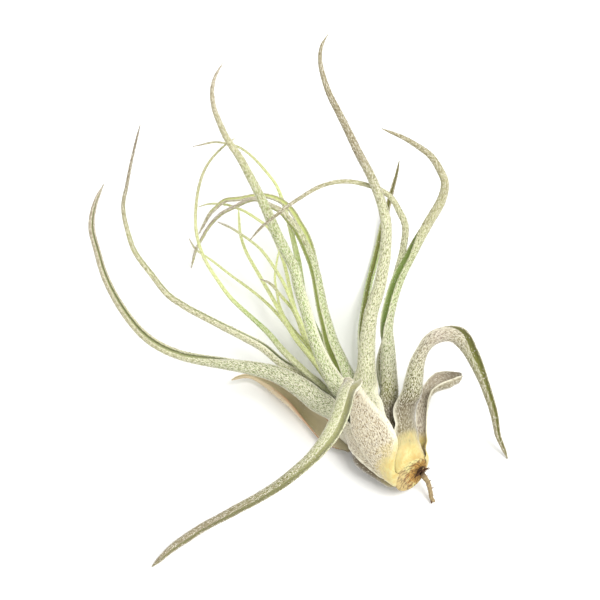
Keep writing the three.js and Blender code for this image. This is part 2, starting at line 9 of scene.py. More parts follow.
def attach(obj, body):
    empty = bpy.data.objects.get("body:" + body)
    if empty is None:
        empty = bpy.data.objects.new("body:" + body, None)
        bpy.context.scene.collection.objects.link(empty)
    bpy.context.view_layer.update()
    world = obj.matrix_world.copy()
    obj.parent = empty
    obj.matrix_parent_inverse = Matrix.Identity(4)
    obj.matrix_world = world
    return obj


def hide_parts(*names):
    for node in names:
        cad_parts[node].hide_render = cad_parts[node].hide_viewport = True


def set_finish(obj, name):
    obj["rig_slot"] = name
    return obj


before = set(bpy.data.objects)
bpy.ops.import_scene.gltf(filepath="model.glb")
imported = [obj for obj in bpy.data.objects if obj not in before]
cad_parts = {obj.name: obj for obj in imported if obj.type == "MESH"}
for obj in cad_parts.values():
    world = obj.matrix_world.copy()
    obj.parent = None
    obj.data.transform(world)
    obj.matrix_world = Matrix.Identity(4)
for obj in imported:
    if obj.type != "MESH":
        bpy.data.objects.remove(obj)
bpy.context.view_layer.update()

bl_info = {
    "name": "Bulbous Air Plant",
    "version": (1, 0, 0),
    "blender": (4, 5, 0),
    "location": "3D View > Sidebar > Air Plant",
    "description": "Leaf skins, silvery scales, scar and root for a small air plant lying on its side",
    "category": "Object",
}

# ------------------------------------------------------------------ sizes, in millimetres
MM = 0.001

# The bulb's axis from its foot, and the two directions square to it.
FOOT = np.array((10.4, -16.2, 8.25))
AXIS = np.array((-0.5, 0.84, 0.21))
AXIS = AXIS / np.linalg.norm(AXIS)
FRONT = np.array((-0.163, -0.33, 0.93))
FRONT = FRONT / np.linalg.norm(FRONT)
LEFT = np.cross(FRONT, AXIS)
LEFT = LEFT / np.linalg.norm(LEFT)

# The flat spot that the plant lies on, which is the origin of the frame.
REST_SPOT = np.array((1.2, -1.4, 0.0))

# The scar is a plane across the foot, tilted towards this side of the bulb, in degrees. The
# sheaths' feet follow it, and higher up the tilt fades out.
SCAR_HEIGHT = 5
SCAR_SIDE = -30
SCAR_TILT = 24
TILT_FADES_AT = 13
SCAR_RADIUS = 6
SCAR_THICKNESS = 0.9
SCAR_GAP = 0.3
SCAR_RINGS = 40
SCAR_SIDES = 120
RIDGE_HEIGHT = 0.16
STEM_RADIUS = 1.9
STEM_TOP = 11.8
LAYER_PITCH = 1.1

# The core of the scar, where the root comes out and the broken fibres meet. Each fibre has its own
# start, length and lift off the scar, within these.
SCAR_CORE = np.array((12.5, -10.51, 8.97))
CORE_RADIUS = 2.8
FIBRES = 46
FIBRE_STARTS = (0.3, 1.6)
FIBRE_LENGTHS = (0.8, 2.2)
FIBRE_LIFTS = (0.1, 0.5)
FIBRE_WIDTHS = (0.26, 0.2, 0.1)

# How far from the core the scar's face is amber and streaked, and the sheaths' bare feet are
# stained, and the height above which no sheath is bare.
AMBER_RADIUS = 6.6
STREAK_RADIUS = 10.5
STAIN_RADIUS = 10.4
BARE_BELOW = 16

# Sheaths and blades are a little thinner here than the solids, with rounded margins.
SHEATH_THICKNESS = 0.5
SHEATH_RIM = 0.26
BLADE_RIM = 0.42
LEAST_BORE = 0.16
RING_STEP = 0.6
SHEATH_STEP = 0.4
LINE_SAMPLES = 1600
HEEL_DEPTH = 0.9
HEEL_IN = 1.1
ARC_POINTS = 25
LIP_POINTS = 2
YOUNG_SIDES = 12
YOUNG_GROOVE = 0.42
CORE_HEIGHT = 12.6
GATE_HEIGHT = 38
CORE_WIDTH = 1.4

# A seam opens under the front leaf's right margin near the foot, below this height.
SEAM_TOP = 13
SEAM_FADE = 4

# The left leaf swells up against the dry leaf's margin, between two heights and over a few degrees.
LIP_SPREAD = 7
LIP_HEIGHTS = (7.5, 24)

# Outside radius of the bulb by height above its foot, in the layer that lies outermost.
PROFILE = (
    (-3, 2.6), (-0.2, 3.7), (0.6, 4.7), (2, 5.8), (4, 6.9), (6.5, 7.9), (9, 8.7), (12, 9.9),
    (15, 10.8), (18, 11.3), (22, 11.4), (26, 10.8), (30, 9.8), (34, 8.6), (38, 7.6), (44, 6.6),
)

# How far the bulb's foot leans to the right of its axis by height.
FOOT_LEAN = ((-3, 2), (0, 1.9), (4, 1.4), (8, 0.8), (12, 0.3), (15, 0), (44, 0))

# What a sheathing leaf is like where its own entry says nothing else. Heights are in millimetres
# above the bulb's foot, angles in degrees, and a place along a leaf runs from 0 to 1.
#   layer        its place in the bulb: 0 is the outermost full layer
#   side         where on the bulb it grows, from the front towards the left
#   above, top   how far above the scar its sheath starts, and the height that it ends at
#   roll         the length over which the sheath rolls into the blade's channel
#   thick        thickness of the blade, and `sheath`, of the sheath
#   blunt        whether its tip is rounded, and not drawn out to a point
#   fold         how far the blade's section reaches round each side of its channel
#   hugs         how far its right and left margins lie down towards the layer below
#   seam, lip    how deep its seam is, and how high it swells up against the dry leaf
#   slot         which of the plant's finishes it has
#   inner        the tone of its channel's inside, and `hollow`, what part of the scales it lacks
#   band         width of the pale scaleless band along its right and left margins, and `band_tone`,
#                that band's tone
#   margin       along the leaf, how strongly the band shows, and `fading`, how much of it goes past
#                the leaf's middle
#   waxy         how bare its foot is, and `waxy_to`, the place up to which it is wholly bare
#   flare        how far it stands off its layer, by height
#   wrap         by height, how far the sheath wraps to the right and to the left
#   reaches      the same, for how far its margins go on past the solid's
#   stands_off   how far its left margin stands off the bulb, by height
#   kept         what part of its right side is there, by height: the rest is tucked under a leaf
#   path         the blade, as rows of x, y, z and width
#   turns        along the blade, how far its channel has turned about its own line
#   wider        along the blade, how much wider it is than its solid
#   shifts       along the blade, how far it lies from its solid's line
#   tones        how it is coloured from its foot to its tip
#   cover        along the leaf, how thickly the scales and the tufts of down stand
USUAL = dict(
    sheath=SHEATH_THICKNESS, fold=132, hugs=(0.15, 0.15), seam=0, lip=0, blunt=False, slot="silver_leaf",
    inner="green", hollow=0.85, band=(0.5, 0.5), band_tone="cream", margin=((0, 0.8),), fading=0.85,
    waxy=1, waxy_to=-1, flare=((0, 0),), reaches=((0, 0, 0),), stands_off=((0, 0),), kept=((0, 1),),
    turns=((0, 0),), wider=((0, 1),), shifts=((0, 0, 0, 0),), cover=((0, 1, 1),),
)

LEAVES = {
    "front_leaf": dict(
        USUAL, layer=0, side=-6, above=0, top=36, roll=8, thick=1.5, fold=148, hugs=(0.15, 0.3), seam=0.6,
        inner="olive", band=(2.2, 0.2),
        wrap=((5, -38, 90), (7.2, -14, 83), (9.5, -2, 71), (12, 8, 60), (14.5, 15, 56), (20, 17, 50),
              (25, 13, 38), (30, 10, 23), (36, 13, 11)),
        reaches=((20, 0, 0), (24, 0, 9), (31, 0, 9), (36, 0, 0)),
        path=((-8.2, 10.6, 26.5, 4), (-9.6, 7, 30.4, 4.1), (-11, 2.4, 34, 4.2), (-12.5, -4, 36.5, 4.3),
              (-15.5, -11.5, 36.5, 4.3), (-21, -18, 33.5, 4), (-28, -22.5, 29, 3.8),
              (-36, -25.5, 22.5, 3.4), (-45.5, -28, 15.5, 3), (-54, -30, 10, 2.4), (-63, -33.5, 5, 1.8),
              (-70, -38.5, 0.36, 0.7)),
        turns=((0, 0), (0.03, -80), (0.08, -122), (0.2, -116), (0.3, -124), (0.7, -122), (1, -128)),
        wider=((0, 1.1), (0.2, 1.25), (0.3, 1.15), (0.4, 0.92), (0.55, 0.9), (0.75, 1), (0.87, 1.35),
               (1, 1.5)),
        shifts=((0.15, 0, 0, 0), (0.3, 0.5, 0, 0), (0.5, 0.3, -0.3, -0.2), (0.67, 0, 0.1, 0.1),
                (0.8, 0, 0, 0), (0.87, 0.2, -0.3, -0.2), (1, 0.1, -0.1, 0)),
        tones=((0.27, "sheath"), (0.36, "silver"), (0.46, "silver"), (0.6, "moss"), (0.8, "umber")),
        margin=((0.28, 0.8), (0.38, 0.4)),
        cover=((0.3, 1, 1), (0.42, 1, 0.65)),
    ),
    "left_leaf": dict(
        USUAL, layer=1, side=82, above=0, top=27, roll=14, thick=1.4, fold=156, hugs=(0.3, 0), lip=0.75,
        inner="silver", band=(0.5, 3.4),
        wrap=((5, 34, 70), (9, 55, 68), (14, 66, 65), (27, 36, 24)),
        reaches=((14, 0, 0), (19, 0, 12), (27, 0, 14)),
        stands_off=((13, 0), (17, 1.1), (21, 2.3), (25, 3.8), (30, 4.3), (36, 2.8), (48, 0)),
        path=((-18, 9.5, 15, 6.6), (-25, 15.5, 16.5, 6), (-33, 19.5, 18, 5.1), (-42, 21, 19.5, 4.3),
              (-48.9, 21.6, 20.6, 3.8), (-55.2, 21.8, 22.1, 3.5), (-62.2, 22.3, 24.1, 3.1),
              (-68.7, 23.3, 27.6, 3), (-73.7, 24.8, 32.1, 2.8), (-77.7, 27.3, 37.1, 2.6),
              (-81.7, 31.3, 42.6, 2.5), (-85.2, 36.8, 48.1, 2.3), (-87.2, 42.3, 53.1, 2.1),
              (-88.7, 46.8, 57.1, 2), (-88.2, 50.3, 61.1, 1.7), (-86.7, 53.8, 64.1, 1.3),
              (-84.7, 56.8, 66.6, 0.7)),
        turns=((0, 0), (0.3, 3), (0.38, -42), (0.45, -77), (0.6, -90), (1, -94)),
        wider=((0.15, 1.1), (0.3, 1)),
        tones=((0.12, "sheath"), (0.2, "sage"), (0.46, "sage"), (0.6, "olive"), (1, "tip")),
        cover=((0.15, 1, 1), (0.25, 1, 0.8)),
    ),
    "outer_left_leaf": dict(
        USUAL, layer=2, side=114, above=0, top=27, roll=12, thick=1.2, inner="sage",
        wrap=((0, 60, 55), (14, 50, 55), (27, 12, 32)),
        path=((-20, 19.5, 12.5, 4.5), (-25.5, 23, 13.5, 3.9), (-30.5, 25.5, 14.5, 3.4),
              (-36.8, 30.8, 16.1, 3.2), (-44, 34, 18.2, 2.9), (-52, 37, 20.7, 2.6),
              (-66, 42.5, 26.7, 2.3), (-71.5, 48.5, 31.2, 2.1), (-76.5, 54, 36.2, 1.9),
              (-79.5, 59.5, 42.2, 1.7), (-81, 64.5, 47.2, 1.5), (-80, 68.5, 51.2, 1.3),
              (-79, 73, 54.7, 1.1), (-77.5, 79.5, 58.2, 0.9), (-76, 86, 61.2, 0.6)),
        shifts=((0.35, 0, 0, 0), (0.53, 0.1, 0.2, 0.15), (0.59, -0.35, -0.3, -0.2), (0.7, -1, -0.6, -0.4),
                (0.85, 0, 0, 0)),
        tones=((0, "sheath"), (0.1, "sage"), (0.3, "silver"), (0.6, "olive"), (0.77, "olive"),
               (0.88, "bark"), (1, "scar")),
    ),
    "tall_left_leaf": dict(
        USUAL, layer=3, side=48, above=0.6, top=30, roll=12, thick=1.4, inner="fresh", band=(1.8, 0.4),
        wrap=((0, 60, 70), (14, 60, 60), (30, 42, 24)),
        path=((-13, 13, 20, 6.2), (-16.5, 18.5, 23, 4.8), (-19, 23, 26, 4.1), (-21, 28, 28.5, 3.8),
              (-23.5, 36, 32, 3.7), (-25.5, 42, 34.5, 3.6), (-26.5, 47, 36, 3.5), (-29, 52, 37.5, 3.4),
              (-32.5, 58.5, 40, 3.5), (-35.5, 65, 42.5, 3.2), (-38.5, 70.5, 45, 3),
              (-41.5, 76, 47.5, 2.7), (-44.5, 81.5, 50, 2.5), (-48.5, 87, 53, 2.2),
              (-51.5, 92.5, 56.5, 1.9), (-53, 95.5, 59.5, 1.6), (-53.5, 99.5, 62.5, 1.4),
              (-52.5, 103, 65.5, 1), (-50, 106.5, 68, 0.6)),
        shifts=((0.5, 0, 0, 0), (0.64, 0.4, 0.2, 0.1), (0.7, 0.25, 0.1, 0.1), (0.8, 0, 0, 0)),
        tones=((0, "sheath"), (0.15, "sage"), (0.35, "green"), (0.55, "green"), (0.8, "olive"),
               (1, "tip")),
    ),
    "arched_leaf": dict(
        USUAL, layer=4, side=2, above=1.6, top=30, roll=12, thick=1.1, slot="green_leaf", inner="fresh",
        wrap=((0, 60, 60), (14, 50, 60), (24, 26, 48), (30, 32, 42)),
        path=((-10.5, 19, 17.5, 5.7), (-13, 25, 18.5, 5.4), (-15, 29.5, 20, 5.1),
              (-16.5, 35.5, 21.5, 4.3), (-18, 41.5, 23, 3.9), (-19, 47.5, 24.5, 3.7),
              (-20.5, 55, 26.5, 3.4), (-23.5, 62.5, 29, 3.1), (-26, 67, 31, 2.9), (-28.5, 70, 32, 2.6),
              (-31.5, 74, 32.5, 2.3), (-35, 76.5, 32, 2), (-37.5, 79.5, 31, 1.8), (-41, 82, 29.5, 1.7),
              (-43.5, 82.5, 27.5, 1.6), (-47.5, 82.5, 24, 1.5), (-51.5, 82.5, 20.5, 1.4),
              (-54.5, 82, 17, 1.3), (-57, 80.5, 14, 1.2), (-59, 78, 11.5, 1.1), (-61, 76, 8.5, 1),
              (-62, 75, 4.5, 0.9), (-63, 74, 0.16, 0.7)),
        turns=((0, 40), (0.05, 68), (0.1, 115), (0.15, 126), (0.5, 124), (0.7, 84), (1, 60)),
        shifts=((0.6, 0, 0, 0), (0.7, 0.2, -0.5, -0.35), (0.8, 0, 0, 0)),
        tones=((0, "sheath"), (0.15, "green"), (0.5, "green"), (0.64, "olive"), (0.78, "tip"),
               (1, "bark")),
    ),
    "lower_arched_leaf": dict(
        USUAL, layer=4, side=165, above=1.6, top=27, roll=10, thick=1, slot="green_leaf", inner="fresh",
        wrap=((0, 20, 36), (14, 18, 36), (27, 14, 26)),
        path=((-15.5, 40, 12, 2.6), (-17.5, 51, 13.5, 2.7), (-19.5, 61.5, 15, 2.5),
              (-21.5, 71.5, 16.5, 2.5), (-23.5, 77, 17.5, 2.5), (-25, 79.5, 18, 2.3),
              (-26.5, 82.5, 19, 2.2), (-28.5, 85.5, 19.5, 2.1), (-30.5, 87.5, 20, 2),
              (-33.5, 89.5, 20, 1.9), (-37, 91, 19.5, 1.8), (-41.5, 92, 18, 1.7), (-45.5, 92.5, 16, 1.7),
              (-52, 94, 13, 1.7), (-54, 93, 11, 1.6), (-56.5, 92, 9, 1.5), (-58.5, 90.5, 5.5, 1.2),
              (-61, 87.5, 2, 0.7)),
        tones=((0, "sheath"), (0.15, "green"), (0.5, "green"), (0.7, "olive"), (1, "tip")),
    ),
    "tall_right_leaf": dict(
        USUAL, layer=2, side=-24, above=0, top=30, roll=12, thick=1.5, band=(2.3, 0.9),
        wrap=((5, 40, 68), (8, 10, 60), (11, -4, 54), (18, -2, 42), (21.5, 3, 36), (24, 8, 33),
              (28, 24, 28), (30, 28, 26)),
        path=((-4, 11, 21, 6.9), (-4.2, 16, 23.6, 6.2), (-4.1, 21.5, 27.9, 6), (-3.5, 25.5, 32.5, 5.9),
              (-2.5, 30, 37, 5.6), (-0.5, 34, 42, 5.3), (0.5, 37, 45.5, 4.9), (1.5, 41.5, 50, 4.3),
              (1.5, 45, 54, 3.8), (1.5, 49, 58, 3.5), (0.5, 52, 61.5, 3.2), (-1, 55, 65, 3),
              (-3.5, 59, 69, 2.8), (-7, 63, 73.5, 2.7), (-10, 67.5, 77.5, 2.4), (-13, 72, 81.5, 2.2),
              (-16, 76, 85.5, 1.9), (-18, 80.5, 89, 1.6), (-19, 84, 92, 1.3), (-18.5, 88, 94.5, 0.9),
              (-16.5, 90.5, 96.5, 0.6)),
        wider=((0, 1), (0.08, 0.95), (0.2, 0.78), (0.34, 0.76), (0.42, 0.86), (0.5, 0.94), (1, 1)),
        shifts=((0.1, 0, 0, 0), (0.25, -0.4, 0, 0), (0.37, -0.35, 0, 0), (0.45, 0, 0, 0),
                (0.57, -0.35, 0.1, 0.1), (0.7, 0, 0, 0)),
        tones=((0, "sheath"), (0.15, "silver"), (0.6, "silver"), (0.72, "umber")),
    ),
    "right_leaf": dict(
        USUAL, layer=3, side=-62, above=0.6, top=21, roll=12, thick=1.4, inner="green", band=(0.8, 0.5),
        wrap=((0, 60, 42), (12, 40, 42), (21, 30, 36)),
        path=((3.5, 11, 17, 6), (3, 19.5, 19, 5.5), (3, 26.5, 20.5, 4.9), (2.5, 32.5, 23, 4.6),
              (3, 36.5, 25.5, 4.5), (4, 40, 28, 4.3), (6, 45, 32.5, 4.2), (8, 48, 36, 4),
              (10.5, 51, 40, 3.7), (13, 54.5, 44, 3.5), (16, 57.5, 49, 3.1), (18.5, 59.5, 53, 2.8),
              (20, 61.5, 57, 2.5), (20.5, 64, 60, 2.3), (18.5, 66.5, 63, 2.2), (15.5, 69, 66, 2),
              (11.5, 70, 69, 1.7), (7.5, 71, 71.5, 1.4), (3.5, 71.5, 73.5, 1), (0, 72, 75, 0.6)),
        turns=((0, 0), (0.2, 8), (0.26, 55), (0.32, 81), (0.5, 79), (0.6, 33), (0.7, -6), (1, 0)),
        wider=((0.5, 1), (0.6, 1.15), (0.68, 1.12), (0.77, 1.05), (1, 1)),
        shifts=((0.7, 0, 0, 0), (0.77, -0.4, -0.1, -0.1), (0.84, 0, 0, 0)),
        # The 'shade' tone and sparse down at its foot paint the shade between the neighbouring leaves' feet,
        # over the foot's own grey brown.
        tones=((0.15, "shade"), (0.22, "moss"), (0.28, "sage"), (0.5, "green"), (0.66, "olive"),
               (1, "umber")),
        cover=((0.14, 0.12, 0.42), (0.26, 1, 1)),
    ),
    "right_arch_leaf": dict(
        USUAL, layer=1, side=-75, above=0, top=18, roll=10, thick=1.5, hugs=(0.15, 0.35), inner="moss",
        band=(0.7, 0.8),
        flare=((12, 0), (15, 0.7), (18, 1.1)),
        wrap=((5, 72, 115), (7, 62, 95), (9.5, 50, 79), (12, 42, 65), (15, 35, 49), (18, 30, 36)),
        reaches=((5, 9, 0), (10, 9, 8), (14, 9, 8), (17, 5, 12), (21, 0, 8), (24, 0, 3), (32, 0, 2)),
        path=((9.9, 6.4, 20, 7.2), (9.7, 9.6, 23, 6.5), (10.3, 12.7, 26.8, 5.5), (11.2, 16, 31, 4.4),
              (13, 18.5, 34.5, 3.5), (15, 20, 36.5, 3.2), (18, 21, 37.5, 3.1), (21, 21.5, 37.5, 3.1),
              (24, 20.5, 36.5, 3.2), (26.5, 18.5, 34, 3.4), (29, 16, 30, 3.2), (31.5, 13.5, 25, 2.9),
              (33.5, 11.5, 20, 2.6), (35.5, 8.5, 15.5, 2.3), (37, 6, 11, 2.1), (38, 3.5, 7, 1.7),
              (40, 1, 3, 1.3), (41.5, -1.5, 0.33, 0.6)),
        turns=((0, -15), (0.3, -20), (0.35, -7), (0.4, 13), (0.45, 44), (0.5, 63), (1, 69)),
        wider=((0, 1), (0.28, 1.1), (0.36, 1.75), (0.44, 1.9), (0.5, 1.4), (0.65, 1.15)),
        shifts=((0.28, 0, 0, 0), (0.36, -0.2, 0.5, 0.4), (0.43, 0.4, 0.75, 0.5), (0.5, 0.35, 0.3, 0.2),
                (0.6, 0.3, 0.15, 0.1), (0.77, 0.1, 0, 0), (0.9, -0.25, 0, 0), (1, -0.2, 0, 0)),
        # The 'shade' tone and sparse down near its foot paint the shade between the neighbouring leaves'
        # feet, over the foot's own brown.
        tones=((0.1, "umber"), (0.2, "shade"), (0.3, "moss"), (0.45, "tip"), (0.6, "moss"), (1, "umber")),
        cover=((0.18, 0.12, 0.42), (0.3, 1, 1), (0.35, 1, 1), (0.45, 1, 0.65)),
    ),
    "spoon_leaf": dict(
        USUAL, layer=0, side=-122, above=0, top=8, roll=7, thick=0.9, blunt=True, fold=84, inner="tip",
        band=(0.3, 0.3), waxy_to=0.34, hollow=0.3, fading=0,
        wrap=((0, 28, 28), (6, 20, 20)),
        reaches=((5, 30, 24), (8, 24, 10)),
        path=((13.9, 6.2, 11.5, 2.9), (14.1, 8.8, 14.5, 2.9), (14.5, 11, 17, 3), (15.6, 13.1, 19, 3.8),
              (17.8, 14.8, 20.2, 5.8), (20.7, 15.7, 20.3, 6.4), (23.3, 16.8, 19.8, 5),
              (25.7, 17.8, 18.9, 1.8)),
        turns=((0, 30), (0.1, 46), (0.45, 48), (0.55, 21), (0.65, -4), (1, -9)),
        wider=((0.45, 1.35), (0.52, 1.45), (0.6, 1.65), (0.75, 1.5), (0.9, 1.6), (1, 3.2)),
        shifts=((0, -0.6, 0, 0), (0.45, -0.7, 0, 0), (0.58, -0.9, 0.5, 0.4), (0.68, -0.6, 0.8, 0.55),
                (0.8, -0.2, 1.45, 1), (0.9, 0.1, 1.5, 1.05), (1, 0, 1.1, 0.8)),
        tones=((0.35, "tip"), (0.5, "umber")),
    ),
    "dry_leaf": dict(
        USUAL, layer=-1, side=134, above=2.6, top=21, roll=14, thick=1.1, sheath=0.8, hugs=(1.9, 0.3),
        slot="dry_leaf", inner="straw", band=(1.3, 0.4), band_tone="blush", waxy=0.12, fading=0,
        wrap=((7, 43, 49), (9, 50, 49), (12, 60, 49), (16, 62, 49), (21, 50, 32)),
        kept=((17, 1), (22, 0.45), (29, 0.42), (36, 0.5), (46, 0.75), (60, 1)),
        path=((-15, 4.5, 3.5, 6.4), (-19, 9.5, 3.5, 6.3), (-23.5, 15, 3.5, 6.5), (-28.5, 20, 3.5, 5.9),
              (-32, 22.5, 2.7, 4.6), (-34.5, 24.5, 2.1, 3.5), (-37.5, 26, 2.2, 2.6), (-41, 27.5, 3, 2.2),
              (-43, 27, 4, 2), (-45.5, 26.5, 4, 1.6), (-47.5, 26, 3, 1)),
        wider=((0.7, 1), (0.88, 0.75), (1, 0.8)),
        shifts=((0.6, 0, 0, 0), (0.85, 0.1, 0.4, 0), (1, 0, 0.3, 0)),
        # From 0.06 to 0.24 along, its band under the bulb takes the dark 'shade' tone: painted shadow over
        # the dead leaf's own umber and tan.
        tones=((0, "umber"), (0.06, "shade"), (0.24, "shade"), (0.32, "umber"), (0.5, "dry")),
        margin=((0.25, 0), (0.35, 0.56), (0.65, 0.56), (0.85, 0)),
        cover=((0, 0.15, 0.1),),
    ),
    "behind_leaf": dict(
        USUAL, layer=3, side=176, above=0.6, top=27, roll=10, thick=1, slot="green_leaf", inner="moss",
        band=(0.1, 0.1),
        wrap=((0, 40, 40), (14, 40, 40), (27, 22, 22)),
        path=((-4.5, 38, 6.5, 2.7), (-4, 47.5, 5.5, 2.7), (-3, 55.5, 4.5, 2.6), (-1.5, 66, 2, 2.4),
              (0.5, 75, 1.34, 2.4), (2.5, 84.5, 1.4, 2.3), (4, 91.5, 3, 2.2), (5.5, 95.5, 6, 2),
              (6.5, 98.5, 8, 1.8), (7.5, 101.5, 10.5, 1.5), (9, 105.5, 13.5, 1.1),
              (10, 109.5, 16.5, 0.7)),
        shifts=((0.3, 0, 0, 0), (0.55, 0.45, 0, 0), (0.78, 0.6, 0.1, 0.1), (1, 0.3, 0, 0)),
        tones=((0, "sheath"), (0.2, "green"), (0.7, "green"), (0.9, "umber")),
        cover=((0, 0.5, 0.4),),
    ),
    "far_arch_leaf": dict(
        USUAL, layer=4, side=-110, above=1.6, top=24, roll=10, thick=1,
        wrap=((0, 34, 34), (14, 34, 34), (24, 24, 24)),
        path=((0.5, 26, 13, 2.9), (3, 36, 15, 2.8), (4.5, 43, 22, 2.6), (5.5, 48, 30, 2.4),
              (7, 51, 37, 2.2), (8, 53.5, 43, 2.2), (8.5, 55.5, 47.5, 2), (7.5, 56.5, 52, 1.9),
              (6, 56.5, 55, 1.9), (4, 57.5, 58, 1.7), (1.5, 58.5, 61, 1.6), (-1.5, 59, 63, 1.5),
              (-4.5, 59, 64.5, 1.5), (-9.5, 59.5, 65.5, 1.4), (-15, 59, 65.5, 1.3), (-20, 58, 64, 1.3),
              (-25, 55.5, 62, 1.2), (-29, 54, 59.5, 1.1), (-33.5, 52, 56, 1), (-36.5, 51.5, 53, 0.9),
              (-40.5, 49, 49, 0.6)),
        wider=((0.3, 1), (0.49, 1.25), (0.56, 1.2), (0.66, 1)),
        shifts=((0.45, 0, 0, 0), (0.55, -0.65, -0.3, -0.2), (0.6, 0, 0, 0), (0.66, -0.2, -0.35, -0.25),
                (0.72, 0, -0.35, -0.25), (0.8, 0.1, -0.25, -0.15), (0.9, 0, 0, 0)),
        # The 'shade' tone and sparse down at its foot paint the shade among the leaves' feet, over the foot's
        # own grey brown.
        tones=((0.15, "shade"), (0.25, "moss"), (0.45, "silver"), (0.7, "olive"), (1, "bark")),
        cover=((0.18, 0.12, 0.42), (0.3, 1, 1)),
    ),
}

# The young leaves: their place in the bulb's core, measured to the left and to the front of the
# axis, where they leave the bulb, their path and their tones.
YOUNG_LEAVES = {
    "loop_leaf": dict(
        core=(3.2, 0.9), gate=(6.7, 0.1),
        path=((-23.5, 21, 17, 2.4), (-30.5, 27, 20, 2.2), (-35, 32.5, 21.5, 1.9), (-39.5, 36.5, 23, 1.6),
              (-47.5, 44, 25, 1.4), (-51.5, 49.5, 26.5, 1.2), (-55.5, 55.5, 28.5, 1.1),
              (-58, 61, 31, 1.1), (-59.2, 66.5, 34, 1), (-59, 72.5, 37.5, 1), (-58, 78, 41, 1),
              (-55.5, 83.5, 44.5, 0.9), (-50.5, 89, 47, 0.8), (-46.5, 92, 48, 0.7)),
        tones=((0.34, "silver"), (0.45, "green"), (0.6, "fresh"), (0.85, "olive")),
    ),
    "thin_leaf_1": dict(
        core=(-1.9, -1.2), gate=(0.4, -3.6),
        path=((-22.5, 48.5, 11.5, 2), (-24.5, 60.5, 11, 2), (-25.5, 68.5, 11, 2.1),
              (-27, 76.5, 11.5, 1.9), (-28.5, 83.5, 12, 1.7), (-30, 89.5, 13, 1.5),
              (-31.5, 94.5, 14.5, 1.3), (-33.5, 98.5, 17, 1.1), (-37, 102, 19.5, 1.1),
              (-40.5, 106, 21, 1), (-43, 108, 22, 0.9), (-47, 111, 22.5, 0.9), (-52, 112.5, 22.5, 0.8),
              (-55.5, 113.5, 22, 0.8), (-59.5, 113, 21, 0.8), (-63, 113, 20, 0.7)),
        tones=((0.5, "green"), (0.75, "fresh"), (0.93, "olive"), (1, "tip")),
    ),
    "thin_leaf_2": dict(
        core=(1, -0.4), gate=(5.2, -1.9),
        path=((-21, 27, 15, 1.9), (-26, 34, 15, 1.6), (-29, 39.5, 15.5, 1.5), (-34, 50, 16, 1.3),
              (-39.5, 61, 16.5, 1.2), (-43.5, 70, 16, 1.1), (-45.5, 78, 15, 1), (-46, 83.5, 14, 0.9),
              (-46.5, 91.5, 12, 0.7)),
        tones=((0, "silver"), (0.2, "fresh")),
    ),
    "thin_leaf_3": dict(
        core=(3.1, -1.4), gate=(4.8, -4.1),
        path=((-23, 32.5, 10.5, 1.5), (-28.5, 42.5, 9, 1.3), (-31.5, 47.5, 8.5, 1.2), (-36, 53.5, 8, 1.1),
              (-40, 58, 7.5, 1), (-43.5, 61.5, 7, 1), (-49, 67, 6, 0.9), (-56.5, 75, 4.5, 0.8),
              (-62, 80.5, 3, 0.8), (-64, 84.5, 3.5, 0.7)),
        tones=((0, "silver"), (0.2, "fresh"), (0.9, "fresh"), (1, "tip")),
    ),
    "thin_leaf_4": dict(
        core=(1.1, 1.9), gate=(4, -0.5),
        path=((-21, 31, 17, 1.5), (-24, 37.5, 18, 1.4), (-27.5, 45.5, 19.5, 1.2), (-29.5, 51, 20.5, 1.2),
              (-33, 58, 21, 1.1), (-38, 66.5, 21, 1), (-41, 70, 20.5, 0.9), (-45.5, 75, 19, 0.9),
              (-49, 79.5, 16.5, 0.8), (-53.5, 84.5, 13, 0.7)),
        tones=((0, "silver"), (0.2, "fresh"), (0.8, "fresh"), (1, "tip")),
    ),
    "thin_leaf_5": dict(
        core=(-1.1, 1.6), gate=(2.3, -1.5),
        path=((-21.5, 34.5, 13, 1.5), (-24.5, 39.5, 14.5, 1.4), (-27.5, 45.5, 17, 1.2),
              (-30, 47.5, 18.5, 1.1), (-33, 51, 20, 1), (-35, 53.5, 20.5, 0.9), (-38, 54.5, 20.5, 0.7)),
        tones=((0, "green"), (0.6, "fresh"), (0.85, "fresh"), (1, "tip")),
    ),
    "thin_leaf_6": dict(
        core=(0.2, -2.6), gate=(2.8, -3.5),
        path=((-24, 37, 10.5, 1.2), (-27, 41, 10.5, 1), (-30, 46, 10.5, 0.9), (-32, 51, 11, 0.9),
              (-32.5, 54.5, 11.5, 0.8), (-33.5, 60, 12.5, 0.8), (-33, 66, 13.5, 0.7),
              (-32, 71.5, 14.5, 0.7)),
        tones=((0.3, "silver"), (0.42, "fresh")),
    ),
    "thin_leaf_7": dict(
        core=(2.6, -3.1), gate=(4.3, -6.1),
        path=((-22.5, 36.5, 8.5, 1.4), (-25, 44.5, 8, 1.3), (-27.5, 55, 8, 1.3), (-30.5, 70, 9, 1.2),
              (-33.5, 79, 10, 1.2), (-36, 84, 11, 1.1), (-40.5, 87, 12, 1), (-44, 90, 12, 1),
              (-47.5, 92.5, 11, 1), (-50, 94.5, 10, 0.9), (-54.5, 96, 9, 0.8), (-58.5, 96.5, 8, 0.8),
              (-61, 96, 7, 0.7)),
        tones=((0.9, "fresh"), (1, "olive")),
    ),
}

ROOT_PATH = (
    (13, -11.2, 8.5, 1.4), (13.6, -11.6, 7.3, 1.5), (14.7, -12.5, 6, 1.3), (15.4, -13.8, 4.6, 1.3),
    (15.8, -15.1, 3, 1.2), (16.2, -16.4, 1.5, 1.1), (17.2, -17, 0.9, 0.8),
)

